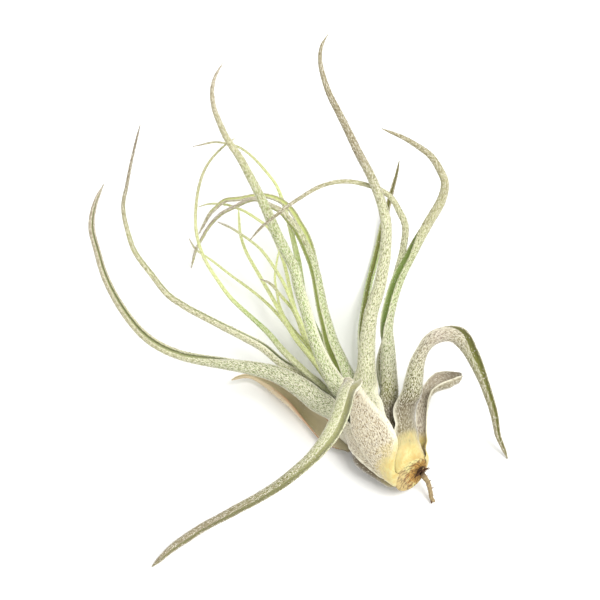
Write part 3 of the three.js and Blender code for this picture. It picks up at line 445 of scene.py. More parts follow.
# Side shoots of the root: where each starts and ends, and its width.
SHOOTS = (
    ((15.5, -14, 4.4), (16.7, -14, 4.6), 0.4), ((14.9, -12.7, 5.8), (15.9, -12.2, 6.3), 0.35),
    ((15.9, -15.5, 2.6), (16.8, -15.8, 2.9), 0.3), ((16.1, -16.2, 1.6), (16.2, -17.6, 0.8), 0.8),
    ((13.9, -11.8, 7), (14.9, -11.4, 7.6), 0.35), ((14.2, -12.2, 6.6), (13.5, -12.8, 6.6), 0.3),
)

# A vertex this far from a margin is clear of it.
CLEAR_OF_MARGIN = 99.0

# The map along a leaf has this many millimetres to the unit, and a tuft of down lies along it.
MAP_LENGTH = 200
TUFT_LENGTH = 0.95
TUFT_WIDTH = 0.37

# Scales stand only where no other leaf lies this close over the skin, and this far off the floor. A
# ray that looks for the other leaf starts a little above the skin.
COVERED_WITHIN = 1.2
SKIN_GAP = 0.04
OFF_THE_FLOOR = 0.6
YOUNG_SCALE = 0.7

# The waxy bare foot ends about this far above the scar, and fades over a length.
WAXY_HEIGHT = 7.6
WAXY_FADE = 7

# The camera, which looks down at the plant as the photograph does, and the soft lamp, in metres.
IMAGE_PIXELS = 600
FOCAL_PIXELS = 1400
SENSOR_WIDTH = 36
CAMERA_AT = (-0.02616, -0.2149, 0.3954)
CAMERA_PITCH = 35
LAMP_AT = (0.4, -0.25, 0.95)
LAMP_AIM = (-0.02, 0.04, 0.02)
LAMP_SIZE = 0.6


# ------------------------------------------------------------------ small helpers
def linear(text):
    """A colour given as an sRGB hex value, as linear red, green and blue."""
    parts = [int(text[i:i + 2], 16) / 255 for i in (1, 3, 5)]
    return tuple(c / 12.92 if c <= 0.04045 else ((c + 0.055) / 1.055) ** 2.4 for c in parts)


def smooth(t):
    """A soft step from 0 to 1 as t goes from 0 to 1."""
    t = np.clip(t, 0.0, 1.0)
    return t * t * (3 - 2 * t)


def unit(v):
    return v / np.linalg.norm(v, axis=-1, keepdims=True)


def read(rows, at, column=1):
    """A table's column, read at places between its rows."""
    rows = np.array(rows, float)
    return np.interp(at, rows[:, 0], rows[:, column])


def stepped(rows, at, column=1):
    """The same, with a soft step from each row to the next."""
    value = rows[0][column] + 0.0 * at
    for a, b in zip(rows[:-1], rows[1:]):
        value = value + (b[column] - a[column]) * smooth((at - a[0]) / (b[0] - a[0]))
    return value


def soften(values, reach):
    """Values along a line, averaged over about `reach` samples each way, with both ends kept."""
    if reach < 1:
        return values
    pad = int(min(3 * reach, len(values) - 1))
    head = 2 * values[0] - values[pad:0:-1]
    tail = 2 * values[-1] - values[-2:-pad - 2:-1]
    longer = np.concatenate([head, values, tail])
    bell = np.exp(-0.5 * (np.arange(-pad, pad + 1) / reach) ** 2)
    bell /= bell.sum()
    if longer.ndim == 1:
        return np.convolve(longer, bell, "same")[pad:-pad]
    return np.stack([np.convolve(c, bell, "same")[pad:-pad] for c in longer.T], -1)


def reader(rows, column, reach):
    """A function of height that reads a table's column, with its corners rounded over `reach` mm."""
    rows = np.array(rows, float)
    step = 0.1
    heights = np.arange(rows[0, 0], rows[-1, 0] + step, step)
    values = soften(np.interp(heights, rows[:, 0], rows[:, column]), reach / step)
    return lambda h: np.interp(h, heights, values)


PROFILE_AT = reader(PROFILE, 1, 0.7)
LEAN_AT = reader(FOOT_LEAN, 1, 0.7)


def outward(side):
    """The direction away from the bulb's axis at one side or several, in degrees."""
    a = np.radians(np.asarray(side, float))[..., None]
    return FRONT * np.cos(a) + LEFT * np.sin(a)


def middle(h):
    """The middle of the bulb at a height: on its axis, but for the foot's lean."""
    return FOOT + AXIS * h - LEFT * LEAN_AT(h)


def tilted(h, side, radius):
    """The height of a ring on each side of the bulb, tilted as the scar is near the foot."""
    rise = radius * math.tan(math.radians(SCAR_TILT)) * np.cos(np.radians(np.asarray(side) - SCAR_SIDE))
    return h + rise * (1 - smooth((h - SCAR_HEIGHT) / (TILT_FADES_AT - SCAR_HEIGHT)))


def bulb_point(h, side, radius):
    """The points of a ring at sides of the bulb and distances from its middle."""
    return middle(h) + AXIS * (tilted(h, side, radius) - h)[:, None] + outward(side) * radius[:, None]


def spline(points, t):
    """The centripetal Catmull-Rom curve through the points, read at t from 0 to 1."""
    ends = np.vstack([2 * points[0] - points[1], points, 2 * points[-1] - points[-2]])
    x = np.clip(t, 0, 1) * (len(points) - 1)
    i = np.minimum(x.astype(int), len(points) - 2)
    w = (x - i)[:, None]
    p0, p1, p2, p3 = (ends[i + k] for k in range(4))
    d0, d1, d2 = (np.sqrt(np.linalg.norm(b - a, axis=1))[:, None] for a, b in ((p0, p1), (p1, p2), (p2, p3)))
    m1 = ((p1 - p0) / d0 - (p2 - p0) / (d0 + d1) + (p2 - p1) / d1) * d1
    m2 = ((p2 - p1) / d1 - (p3 - p1) / (d1 + d2) + (p3 - p2) / d2) * d1
    return p1 + m1 * w + (-3 * p1 + 3 * p2 - 2 * m1 - m2) * w ** 2 + (2 * p1 - 2 * p2 + m1 + m2) * w ** 3


def so_far(line):
    """How far along a line each of its points lies."""
    return np.concatenate([[0], np.cumsum(np.linalg.norm(np.diff(line, axis=0), axis=1))])


def at_lengths(wanted, length, line):
    """The points of a line at the wanted distances along it."""
    return np.stack([np.interp(wanted, length, c) for c in line.T], -1)


def walk(points, widths, step, ease):
    """Places about `step` apart on the line through the points: position, direction, length, width."""
    t = np.linspace(0, 1, LINE_SAMPLES)
    line = spline(points, t)
    length = so_far(line)
    even = np.linspace(0, length[-1], LINE_SAMPLES)
    line = at_lengths(even, length, line)
    width = np.interp(np.interp(even, length, t) * (len(points) - 1), np.arange(len(points)), widths)
    reach = ease / even[1]
    line, width = soften(line, reach), soften(width, reach)
    length = so_far(line)
    stops = np.linspace(0, length[-1], max(12, int(length[-1] / step)))
    place = at_lengths(stops, length, line)
    heading = unit(np.gradient(place, stops, axis=0))
    return place, heading, stops, np.interp(stops, length, width)


# ------------------------------------------------------------------ leaf forms
RING_POINTS = 2 * ARC_POINTS + 2 * LIP_POINTS
OUTSIDE = slice(0, ARC_POINTS)
RIGHT_LIP = slice(ARC_POINTS, ARC_POINTS + LIP_POINTS)
INSIDE = slice(ARC_POINTS + LIP_POINTS, 2 * ARC_POINTS + LIP_POINTS)
LEFT_LIP = slice(2 * ARC_POINTS + LIP_POINTS, RING_POINTS)


def section(at, reach, wrap_r, wrap_l, thick, rim):
    """One ring of an open channel: outside arc, right lip, inside arc, left lip.

    `at` turns angles and radii into points, and `reach` gives the outside radius at each angle. Also
    gives how far each point of the arc lies from the right and from the left margin.
    """
    r0 = float(reach(np.zeros(1))[0])
    wrap_r = wrap_r - rim / 2 / r0
    wrap_l = wrap_l - rim / 2 / r0
    a = np.linspace(wrap_l, -wrap_r, ARC_POINTS)
    r = reach(a)
    off = np.abs(np.linspace(-1, 1, ARC_POINTS))
    wall = rim + (thick - rim) * np.cos(off * math.pi / 2)
    inner = np.maximum(r - wall, r * LEAST_BORE)
    lips = []
    for end, sign in ((-1, -1), (0, 1)):
        depth = r[end] - inner[end]
        turns = np.linspace(0, math.pi, LIP_POINTS + 2)[1:-1]
        if sign > 0:
            turns = turns[::-1]
        radii = r[end] - depth / 2 + np.cos(turns) * depth / 2
        lips.append(at(a[end] + sign * np.sin(turns) * depth / 2 / r[end], radii))
    ring = np.vstack([at(a, r), lips[0], at(a, inner)[::-1], lips[1]])
    return ring, (a + wrap_r) * r, (wrap_l - a) * r


def lip(h, side):
    """How near a place on the bulb is to the dry leaf's front margin, from 0 to 1."""
    dry = LEAVES["dry_leaf"]
    away = side - (dry["side"] - read(dry["wrap"], h))
    near = np.exp(-(away / np.where(away < 0, LIP_SPREAD, LIP_SPREAD * 0.6)) ** 2)
    return near * smooth((h - LIP_HEIGHTS[0]) / 2) * smooth((LIP_HEIGHTS[1] - h) / 3)


def round_the_bulb(leaf, h):
    """How a sheath's section is placed at a height: its points, and its outside radius."""
    side = leaf["side"]

    def radius(height):
        return PROFILE_AT(height) - leaf["layer"] * LAYER_PITCH + read(leaf["flare"], height)

    below = np.clip((SCAR_HEIGHT + leaf["above"] - h) / HEEL_DEPTH, 0, 1)
    drawn_in = HEEL_IN * (1 - math.sqrt(1 - below ** 2))

    def at(angle, distance):
        return bulb_point(h, side + np.degrees(angle), distance)

    def reach(angle):
        found = radius(tilted(h, side + np.degrees(angle), radius(h))) - drawn_in
        if len(angle) == 1:
            return found
        across = np.linspace(-1, 1, len(angle))
        right, left = leaf["hugs"]
        right += leaf["seam"] * float(smooth((SEAM_TOP - h) / SEAM_FADE))
        found -= right * np.maximum(across, 0) ** 4 + left * np.maximum(-across, 0) ** 4
        found += read(leaf["stands_off"], h) * np.maximum(-across, 0) ** 2
        return found + leaf["lip"] * lip(h, side + np.degrees(angle))

    return at, reach, float(radius(h))


def round_a_line(p, up, across, r, off):
    """How a blade's section is placed: on a circle that touches the line at p, open towards `up`."""
    centre = p + up * r

    def reach(angle):
        return r + off * np.maximum(-np.linspace(-1, 1, len(angle)), 0) ** 2

    def at(angle, distance):
        deep, wide = np.cos(angle) * distance, np.sin(angle) * distance
        return centre - up * deep[:, None] + across * wide[:, None]

    return at, reach


def blade_width(leaf, f, w):
    """Half the width of a blade of width w, drawn in to a point or a blunt end at its tip."""
    if leaf["blunt"]:
        return w / 2 * math.sqrt(1 - 0.95 * max(0.0, (f - 0.86) / 0.14) ** 2)
    return max(w, 0.35) / 2 * (1 - 0.55 * float(smooth((f - 0.97) / 0.03)))


def sheathing_leaf(name):
    """A leaf's rings from foot to tip, and what each vertex is."""
    leaf = LEAVES[name]
    out = outward(leaf["side"])
    right_at, left_at = (reader(leaf["wrap"], column, 0.8) for column in (1, 2))
    wall = leaf["sheath"]
    made, lips, heights, lengths, heads = [], [], [], [], []

    def wraps(h):
        """How far the sheath reaches round the bulb to the right and to the left, in degrees."""
        return right_at(h) + read(leaf["reaches"], h), left_at(h) + read(leaf["reaches"], h, 2)

    def keep(ring, h, heading):
        made.append(ring)
        heights.append(h)
        lengths.append(h - heel[0])
        heads.append(heading)

    foot, top = SCAR_HEIGHT + leaf["above"], leaf["top"]
    heel = foot - HEEL_DEPTH * np.sin(np.linspace(1, 0, 6)[:-1] * math.pi / 2)
    for h in np.concatenate([heel, np.linspace(foot, top, max(6, int((top - foot) / SHEATH_STEP)))]):
        at, reach, _ = round_the_bulb(leaf, h)
        right, left = wraps(h)
        right = right * read(leaf["kept"], h)
        lips.append(lip(h, leaf["side"] + np.linspace(left, -right, ARC_POINTS)))
        keep(section(at, reach, math.radians(right), math.radians(left), wall, SHEATH_RIM), h, AXIS)

    r_top = round_the_bulb(leaf, top)[2]
    begin = middle(top) + out * r_top
    before = middle(top - 3) + out * round_the_bulb(leaf, top - 3)[2]
    path = np.array(leaf["path"], float)
    points = np.vstack([before, begin, path[:, :3]])
    widths = np.concatenate([[path[0, 3]] * 2, path[:, 3]])
    place, heading, along, width = walk(points, widths, RING_STEP, 1.5)
    s0 = float(np.linalg.norm(begin - before))
    total = along[-1] - s0
    fold = math.radians(leaf["fold"])
    right, left = (math.radians(angle) for angle in wraps(top))
    up = -out
    for p, tangent, s, w in zip(place, heading, along, width):
        if s < s0 + 0.3:
            continue
        past, f = s - s0, (s - s0) / total
        # The section goes over from the sheath's (0) to the blade's (1), and its plane sooner.
        k = float(smooth(past / leaf["roll"]))
        m = float(smooth(past / (leaf["roll"] * 0.6)))
        d = unit(AXIS * (1 - m) + tangent * m)
        up = unit(up - d * (up @ d))
        turn = math.radians(read(leaf["turns"], f)) * k
        turned = up * math.cos(turn) + np.cross(d, up) * math.sin(turn)
        p = p + np.array([read(leaf["shifts"], f, n) for n in (1, 2, 3)]) * k
        half = blade_width(leaf, f, w * read(leaf["wider"], f))
        curl = (1 - k) / r_top + k / half
        thick = (1 - k) * wall + k * min(leaf["thick"], 0.84 * half)
        rim = (1 - k) * SHEATH_RIM + k * min(BLADE_RIM, 0.6 * half)
        # The path is the middle of the rolled blade, so its back lies half a width below it.
        back = p - up * half * k + (up - turned) * half * k
        off = read(leaf["stands_off"], top + past)
        at, reach = round_a_line(back, turned, unit(np.cross(d, turned)), 1 / curl, off)
        wrap_r, wrap_l = (((1 - k) * r_top * wrap + k * half * fold) * curl for wrap in (right, left))
        wrap_r = wrap_r * read(leaf["kept"], top + past)
        keep(section(at, reach, wrap_r, wrap_l, thick, rim), top + past, d)

    rings = np.array([ring for ring, _, _ in made])
    rings[..., 2] = np.maximum(rings[..., 2], 0.0)
    form = dict(rings=rings, inside=np.zeros(rings.shape[:2]))
    form["inside"][:, INSIDE] = 1
    for key, n, other_lip in (("from_right", 1, LEFT_LIP), ("from_left", 2, RIGHT_LIP)):
        away = np.zeros(rings.shape[:2])
        away[:, OUTSIDE] = [ring[n] for ring in made]
        away[:, INSIDE] = away[:, OUTSIDE][:, ::-1]
        away[:, other_lip] = CLEAR_OF_MARGIN
        form[key] = away
    if leaf["lip"]:
        # The swelling is as pale as a margin.
        swollen = form["from_left"][:len(lips), OUTSIDE]
        form["from_left"][:len(lips), OUTSIDE] = np.minimum(swollen, (1 - np.array(lips)) * 6)
    return along_rings(form, heights, lengths, heads)


def along_rings(form, heights, lengths, heads):
    """Adds each ring's height, length and direction to all of its vertices."""
    spread = np.ones(form["rings"].shape[:2])
    return dict(
        form, height=np.array(heights)[:, None] * spread, length=np.array(lengths)[:, None] * spread,
        heading=np.array(heads)[:, None, :] * spread[..., None],
    )


def rod(points, widths, step, ease, sides, dent=0.0):
    """Round rings along a line, with a shallow groove of relative depth `dent` on their upper side."""
    place, heading, along, width = walk(points, widths, step, ease)
    up = np.array((0.3, 0.2, 0.9))
    turn = np.arange(sides) / sides * 2 * math.pi
    groove = np.exp(-((turn - np.where(turn > math.pi, 2 * math.pi, 0)) / 0.5) ** 2)
    rings = []
    for p, d, s, w in zip(place, heading, along, width):
        up = unit(up - d * (up @ d))
        end = float(smooth((s / along[-1] - 0.96) / 0.04))
        radii = (w / 2 * (1 - 0.5 * end) * (1 - dent * groove))[:, None]
        rings.append(p + up * np.cos(turn)[:, None] * radii + np.cross(d, up) * np.sin(turn)[:, None] * radii)
    return np.array(rings), heading, along, groove


def young_leaf(name):
    """A thin leaf: a round section with a shallow groove, from its place in the bulb's core."""
    leaf = YOUNG_LEAVES[name]

    def place_at(h, spot):
        return middle(h) + LEFT * spot[0] + FRONT * spot[1]

    path = np.array(leaf["path"], float)
    points = np.vstack([place_at(CORE_HEIGHT, leaf["core"]), place_at(20, leaf["core"]),
                        place_at(GATE_HEIGHT, leaf["gate"]), path[:, :3]])
    widths = np.concatenate([[CORE_WIDTH] * 3, path[:, 3]])
    rings, heading, along, groove = rod(points, widths, RING_STEP, 1.8, YOUNG_SIDES, YOUNG_GROOVE)
    far = np.full(rings.shape[:2], CLEAR_OF_MARGIN)
    form = dict(rings=rings, from_right=far, from_left=far, inside=np.ones((len(rings), 1)) * groove * 0.7)
    return along_rings(form, far[:, 0], along, heading)


# ------------------------------------------------------------------ colours
PALETTE = {
    "sheath": ("Sheath", "Pinkish grey of the bulb under its scales", "#a18e70"),
    "silver": ("Silver leaf", "Pale grey green of a leaf well covered in scales", "#a9ae7b"),
    "sage": ("Sage leaf", "Grey green of a leaf near the bulb", "#899263"),
    # The 'shade' tone is partly the grey brown of old leaf feet and partly painted shade: it darkens the feet
    # of the right leaves, where they lie in the shadow between neighbouring leaves, and the dry leaf's band
    # under the bulb.
    "shade": ("Dusky foot in painted shade", "Grey brown at the foot of the right leaves, partly painted shade", "#54462d"),
    "green": ("Green leaf", "Green of a leaf with few scales", "#8fa654"),
    "fresh": ("Fresh leaf", "Yellow green of a young leaf", "#d3dc8d"),
    "olive": ("Olive leaf", "Olive of a leaf past its middle", "#aaa979"),
    "moss": ("Mossy leaf", "Darker olive green of a channel or a worn blade", "#70712e"),
    "umber": ("Umber leaf", "Grey brown of a worn blade", "#7d7251"),
    "tip": ("Leaf tip", "Brownish grey of a leaf's tip", "#a09282"),
    "bark": ("Dried tip", "Dark brown of a dried tip", "#76694f"),
    "dry": ("Dry leaf", "Tan of the dried outer leaf", "#d0bd9a"),
    "straw": ("Straw", "Pale straw of the dried leaf's inside", "#c6bc99"),
    "cream": ("Leaf edge", "Cream of the thin edge of a leaf", "#f0ecd6"),
    "wax": ("Bare foot", "Waxy yellow of the sheaths' bare feet", "#cdc281"),
    "amber": ("Amber", "Amber stain round the scar", "#aa7a2a"),
    "blush": ("Blush", "Pinkish orange of the torn edge of the scar", "#a86e42"),
    "scar": ("Scar", "Dark brown of the scar's core", "#452c19"),
    "root": ("Root", "Grey brown of the root", "#94805a"),
}


def tone(settings, name):
    """One of the palette's colours, as the user has set it."""
    return np.array(getattr(settings, name)[:3])


def blend(a, b, t):
    return a + (b - a) * t[..., None]


def tone_along(settings, stops, fraction):
    """The colour at each place along a leaf, from a table of tones."""
    places = [place for place, _ in stops]
    colours = np.array([tone(settings, name) for _, name in stops])
    return np.stack([np.interp(fraction, places, c) for c in colours.T], -1)


def wobble(points, size, seed):
    """Smooth noise from -1 to 1 at points in millimetres, from a few turned waves."""
    rng = np.random.default_rng(seed)
    total = np.zeros(points.shape[:-1])
    for _ in range(6):
        way = unit(rng.normal(size=points.shape[-1])) * 2 * math.pi / size * rng.uniform(0.6, 1.6)
        total += np.sin(points @ way + rng.uniform(0, 2 * math.pi))
    return total / 6 * 1.6


def seed_of(name):
    """A seed that belongs to a leaf."""
    return sum(ord(c) for c in name)


def bareness(points):
    """How bare and waxy the bulb's foot is at each point, from 0 to 1."""
    offset = points - FOOT
    side = np.degrees(np.arctan2(offset @ LEFT + LEAN_AT(SCAR_HEIGHT), offset @ FRONT))
    radius = np.linalg.norm(offset - (offset @ AXIS)[..., None] * AXIS, axis=-1)
    above_scar = offset @ AXIS - tilted(SCAR_HEIGHT, side, radius)
    ragged = 0.9 * wobble(points, 6.0, 7) + 1.1 * wobble(points, 1.5, 71)
    return smooth((WAXY_HEIGHT + ragged - above_scar) / WAXY_FADE)


def young_tissue(settings, name, form):
    """The same as tissue_of, for a thin young leaf, whose groove has fewer scales."""
    inside = form["inside"]
    colour = tone_along(settings, YOUNG_LEAVES[name]["tones"], form["length"] / form["length"].max())
    colour = colour * (1 - 0.15 * inside + 0.05 * wobble(form["rings"], 5.0, seed_of(name)))[..., None]
    return np.clip(colour, 0, 1), np.zeros(inside.shape), 1 - 0.8 * inside, 0.55 - 0.3 * inside


def tissue_of(settings, name, form):
    """The skin at each vertex: its colour, how bare it is, and how thick the scales and the down are."""
    leaf = LEAVES[name]
    points, inside = form["rings"], form["inside"]
    fraction = form["length"] / form["length"].max()
    colour = tone_along(settings, leaf["tones"], fraction)
    inner = np.broadcast_to(tone(settings, leaf["inner"]), colour.shape)
    groove = blend(colour, inner, np.full(fraction.shape, 0.8)) * 0.95
    colour = blend(colour, groove, inside * smooth((form["height"] - 10) / 8))
    colour = colour * (1 + 0.06 * wobble(points, 5.0, seed_of(name)))[..., None]

    # The thin pale margins.
    narrowing = 1 - 0.6 * smooth((fraction - 0.45) / 0.3)
    edge = np.maximum(smooth(1.3 - form["from_right"] / (leaf["band"][0] * narrowing)),
                      smooth(1.3 - form["from_left"] / (leaf["band"][1] * narrowing)))
    edge = edge * stepped(leaf["margin"], fraction) * (1 - 0.7 * inside)
    edge = edge * (1 - leaf["fading"] * smooth((fraction - 0.35) / 0.2))
    colour = blend(colour, tone(settings, leaf["band_tone"]), edge)

    # The waxy foot, mottled with amber, and stained with it on the side of the scar's core.
    bare = bareness(points) * smooth((BARE_BELOW - form["height"]) / 2) * leaf["waxy"]
    bare = np.maximum(bare, smooth((leaf["waxy_to"] - fraction) / 0.12))
    colour = blend(colour, tone(settings, "wax"), bare)
    colour = blend(colour, tone(settings, "amber"), 0.28 * bare * smooth(0.3 + wobble(points, 3.0, 61)))
    offset = points - SCAR_CORE
    away = np.linalg.norm(offset, axis=-1) + 0.9 * wobble(points, 2.2, 17)
    stained = smooth((STAIN_RADIUS - away) / 6) * (0.1 + 0.9 * smooth((offset @ LEFT + 4) / 4))
    colour = blend(colour, tone(settings, "amber"), 0.8 * bare * stained)

    open_skin = 1 - inside * leaf["hollow"]
    scaly = (1 - bare) ** 3 * (1 - 0.8 * edge) * open_skin
    downy = (1 - bare) * (1 - 0.7 * edge) * open_skin * (1 - 0.55 * smooth((fraction - 0.5) / 0.3))
    scaly, downy = scaly * stepped(leaf["cover"], fraction), downy * stepped(leaf["cover"], fraction, 2)
    return np.clip(colour, 0, 1), bare, scaly, downy


# ------------------------------------------------------------------ meshes
def put_attribute(mesh, name, kind, field, values):
    made = mesh.attributes.new(name, kind, "POINT")
    made.data.foreach_set(field, np.asarray(values, np.float32).ravel())


def paint(mesh, colour, bare):
    """Stores a colour and a bareness for each vertex."""
    flat = np.asarray(colour).reshape(-1, 3)
    put_attribute(mesh, "tissue", "FLOAT_COLOR", "color", np.concatenate([flat, np.ones((len(flat), 1))], -1))
    put_attribute(mesh, "bare", "FLOAT", "value", bare)


def show(mesh, name):
    made = bpy.data.objects.new(name, mesh)
    bpy.context.scene.collection.objects.link(made)
    return made


def tube_mesh(name, tubes, ends=None):
    """One closed mesh over the rings of one tube or several.

    `ends` are the faces of an end cap, as indices into a ring; a round tube has one such face.
    """
    vertices, faces = [], []
    for rings in tubes:
        count, width = rings.shape[:2]
        cap = ends or [list(range(width))[::-1]]
        i, j = np.meshgrid(np.arange(count - 1), np.arange(width), indexing="ij")
        a, b = (i * width + j).ravel(), (i * width + (j + 1) % width).ravel()
        over = np.stack([a, b, b + width, a + width], -1).tolist() + cap
        over += [[(count - 1) * width + k for k in face[::-1]] for face in cap]
        faces += [[len(vertices) + k for k in face] for face in over]
        vertices += ((rings - REST_SPOT) * MM).reshape(-1, 3).tolist()
    mesh = bpy.data.meshes.new(name)
    mesh.from_pydata(vertices, [], faces)
    mesh.validate()
    mesh.polygons.foreach_set("use_smooth", [True] * len(mesh.polygons))
    return mesh


def true_length_map(mesh, rings, length):
    """A map in real proportions, along the leaf and round its section."""
    count = len(rings)
    steps = np.linalg.norm(np.roll(rings, -1, axis=1) - rings, axis=-1)
    around = np.concatenate([np.zeros((count, 1)), np.cumsum(steps, 1)[:, :-1]], 1)
    layer = mesh.uv_layers.new(name="Length")
    corner = np.zeros(len(mesh.loops), np.int32)
    mesh.loops.foreach_get("vertex_index", corner)
    u, v = (distance.ravel()[corner] / MAP_LENGTH for distance in (length, around))
    layer.uv.foreach_set("vector", np.stack([u, v], -1).astype(np.float32).ravel())


def leaf_mesh(name, form, settings):
    """A leaf's closed mesh, with its map and attributes."""
    if name in YOUNG_LEAVES:
        mesh = tube_mesh(name, [form["rings"]])
        colour, bare, scaly, downy = young_tissue(settings, name, form)
    else:
        last_in = 2 * ARC_POINTS + LIP_POINTS - 1
        ends = [[k, last_in - k, last_in - k - 1, k + 1] for k in range(ARC_POINTS - 1)]
        right = [ARC_POINTS - 1 + k for k in range(LIP_POINTS + 2)]
        left = [(last_in + k) % RING_POINTS for k in range(LIP_POINTS + 2)]
        mesh = tube_mesh(name, [form["rings"]], ends + [right[::-1], left[::-1]])
        colour, bare, scaly, downy = tissue_of(settings, name, form)
    paint(mesh, colour, bare)
    put_attribute(mesh, "scaly", "FLOAT", "value", scaly)
    put_attribute(mesh, "downy", "FLOAT", "value", downy)
    put_attribute(mesh, "flow", "FLOAT_VECTOR", "vector", form["heading"])
    put_attribute(mesh, "past", "FLOAT", "value", form["length"] / form["length"].max())
    true_length_map(mesh, form["rings"], form["length"])
    return mesh


def show_leaf(name, form, slot, settings):
    """Puts a leaf's skin in the place of its solid."""
    piece = show(leaf_mesh(name, form, settings), name + "_skin")
    piece.data.materials.append(bpy.data.materials.get("leaf_skin") or leaf_skin_material())
    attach(piece, "root")
    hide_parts(name)
    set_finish(piece, slot)


# ------------------------------------------------------------------ materials
def add(tree, kind, inputs=None, **settings):
    """One node with its settings; each input is a value or another node's output."""
    node = tree.nodes.new(kind)
    for key, value in settings.items():
        setattr(node, key, value)
    for key, value in (inputs or {}).items():
        if isinstance(value, bpy.types.NodeSocket):
            tree.links.new(value, node.inputs[key])
        else:
            node.inputs[key].default_value = value
    return node


def new_material(name):
    material = bpy.data.materials.new(name)
    material.use_nodes = True
    material.node_tree.nodes.clear()
    return material, material.node_tree


def finish_material(tree, shader):
    add(tree, "ShaderNodeOutputMaterial", {"Surface": shader.outputs["BSDF"]})


# Broken fibre ends to the metre: each is about 0.36 mm across.
FIBRE_ENDS = 2800.0

# The colours of the tufts of down, and of the streaks in the bare feet.
DOWN = "#f0edd4"
STREAK = "#c79c4c"


def leaf_skin_material():
    """Living leaf tissue: matt under tufts of pale scales, waxy and smooth where it is bare."""
    material, tree = new_material("leaf_skin")
    tissue = add(tree, "ShaderNodeAttribute", attribute_name="tissue")
    bare = add(tree, "ShaderNodeAttribute", attribute_name="bare")
    down = add(tree, "ShaderNodeAttribute", attribute_name="downy")
    place = add(tree, "ShaderNodeUVMap", uv_map="Length")
    # The real tufts are finer, and are drawn as coarse as they need to show. They lie along the
    # leaf, with dark skin between them.
    stretch = add(tree, "ShaderNodeMapping", {
        "Vector": place.outputs["UV"], "Scale": (MAP_LENGTH / TUFT_LENGTH, MAP_LENGTH / TUFT_WIDTH, 1)})
    tufts = add(tree, "ShaderNodeTexNoise", {
        "Vector": stretch.outputs["Vector"], "Scale": 1.0, "Detail": 1.0, "Roughness": 0.6})
    tuft = add(tree, "ShaderNodeMapRange", {
        "Value": tufts.outputs["Fac"], "From Min": 0.42, "From Max": 0.6})
    dark = add(tree, "ShaderNodeMapRange", {
        "Value": tufts.outputs["Fac"], "From Min": 0.34, "From Max": 0.5, "To Min": 0.5, "To Max": 1.0})
    dim = add(tree, "ShaderNodeMix", {"Factor": down.outputs["Fac"], "A": 1.0, "B": dark.outputs["Result"]})
    shade = add(tree, "ShaderNodeVectorMath", {
        0: tissue.outputs["Color"], "Scale": dim.outputs["Result"]}, operation="SCALE")
    cover = add(tree, "ShaderNodeMath", {
        0: tuft.outputs["Result"], 1: down.outputs["Fac"]}, operation="MULTIPLY")
    thin = add(tree, "ShaderNodeMath", {0: cover.outputs[0], 1: 0.55}, operation="MULTIPLY")
    # Sockets 6 and 7 of a Mix node are its two colours.
    downy = add(tree, "ShaderNodeMix", {
        0: thin.outputs[0], 6: shade.outputs["Vector"], 7: (*linear(DOWN), 1)}, data_type="RGBA")
    # The bare foot has faint brown streaks where the tissue is stained.
    vein = add(tree, "ShaderNodeMapRange", {
        "Value": tufts.outputs["Fac"], "From Min": 0.5, "From Max": 0.64, "To Min": 0.0, "To Max": 0.6})
    stain = add(tree, "ShaderNodeMath", {
        0: vein.outputs["Result"], 1: bare.outputs["Fac"]}, operation="MULTIPLY")
    stained = add(tree, "ShaderNodeMix", {
        0: stain.outputs[0], 6: downy.outputs[2], 7: (*linear(STREAK), 1)}, data_type="RGBA")
    rough = add(tree, "ShaderNodeMapRange", {
        "Value": bare.outputs["Fac"], "To Min": 0.8, "To Max": 0.4})
    bump = add(tree, "ShaderNodeBump", {"Height": tufts.outputs["Fac"], "Strength": 0.5, "Distance": 0.0002})
    shader = add(tree, "ShaderNodeBsdfPrincipled", {
        "Base Color": stained.outputs[2], "Roughness": rough.outputs["Result"],
        "Normal": bump.outputs["Normal"], "IOR": 1.42,
        "Sheen Weight": 0.7, "Sheen Roughness": 0.35})
    finish_material(tree, shader)
    return material


def scar_material(name):
    """Torn plant fibre: dry, dull and finely ridged."""
    material, tree = new_material(name)
    tissue = add(tree, "ShaderNodeAttribute", attribute_name="tissue")
    where = add(tree, "ShaderNodeTexCoord")
    grain = add(tree, "ShaderNodeTexNoise", {
        "Vector": where.outputs["Object"], "Scale": FIBRE_ENDS, "Detail": 2.0})
    spread = add(tree, "ShaderNodeMapRange", {
        "Value": grain.outputs["Fac"], "From Min": 0.3, "From Max": 0.7, "To Min": 0.72, "To Max": 1.2})
    shade = add(tree, "ShaderNodeVectorMath", {
        0: tissue.outputs["Color"], "Scale": spread.outputs["Result"]}, operation="SCALE")
    bump = add(tree, "ShaderNodeBump", {"Height": grain.outputs["Fac"], "Strength": 0.5, "Distance": 0.0002})
    shader = add(tree, "ShaderNodeBsdfPrincipled", {
        "Base Color": shade.outputs["Vector"], "Roughness": 0.6, "Normal": bump.outputs["Normal"],
        "IOR": 1.45})
    finish_material(tree, shader)
    return material


def plain_material(name, colour, roughness, sheen=0.0):
    material, tree = new_material(name)
    shader = add(tree, "ShaderNodeBsdfPrincipled", {
        "Base Color": (*colour, 1), "Roughness": roughness, "IOR": 1.4, "Sheen Weight": sheen})
    finish_material(tree, shader)
    return material


# ------------------------------------------------------------------ scales
def scale_form():
    """One scale, 1 long and 1 wide, lying along +X with its ridge up."""
    mesh = bpy.data.meshes.new("scale_form")
    mesh.from_pydata([(0, 0, 0), (0.45, -0.5, 0), (0.45, 0.5, 0), (1, 0, 0.25)], [], [
        (0, 1, 3), (0, 3, 2), (1, 2, 3), (0, 2, 1)])
    return show(mesh, "scale_form")


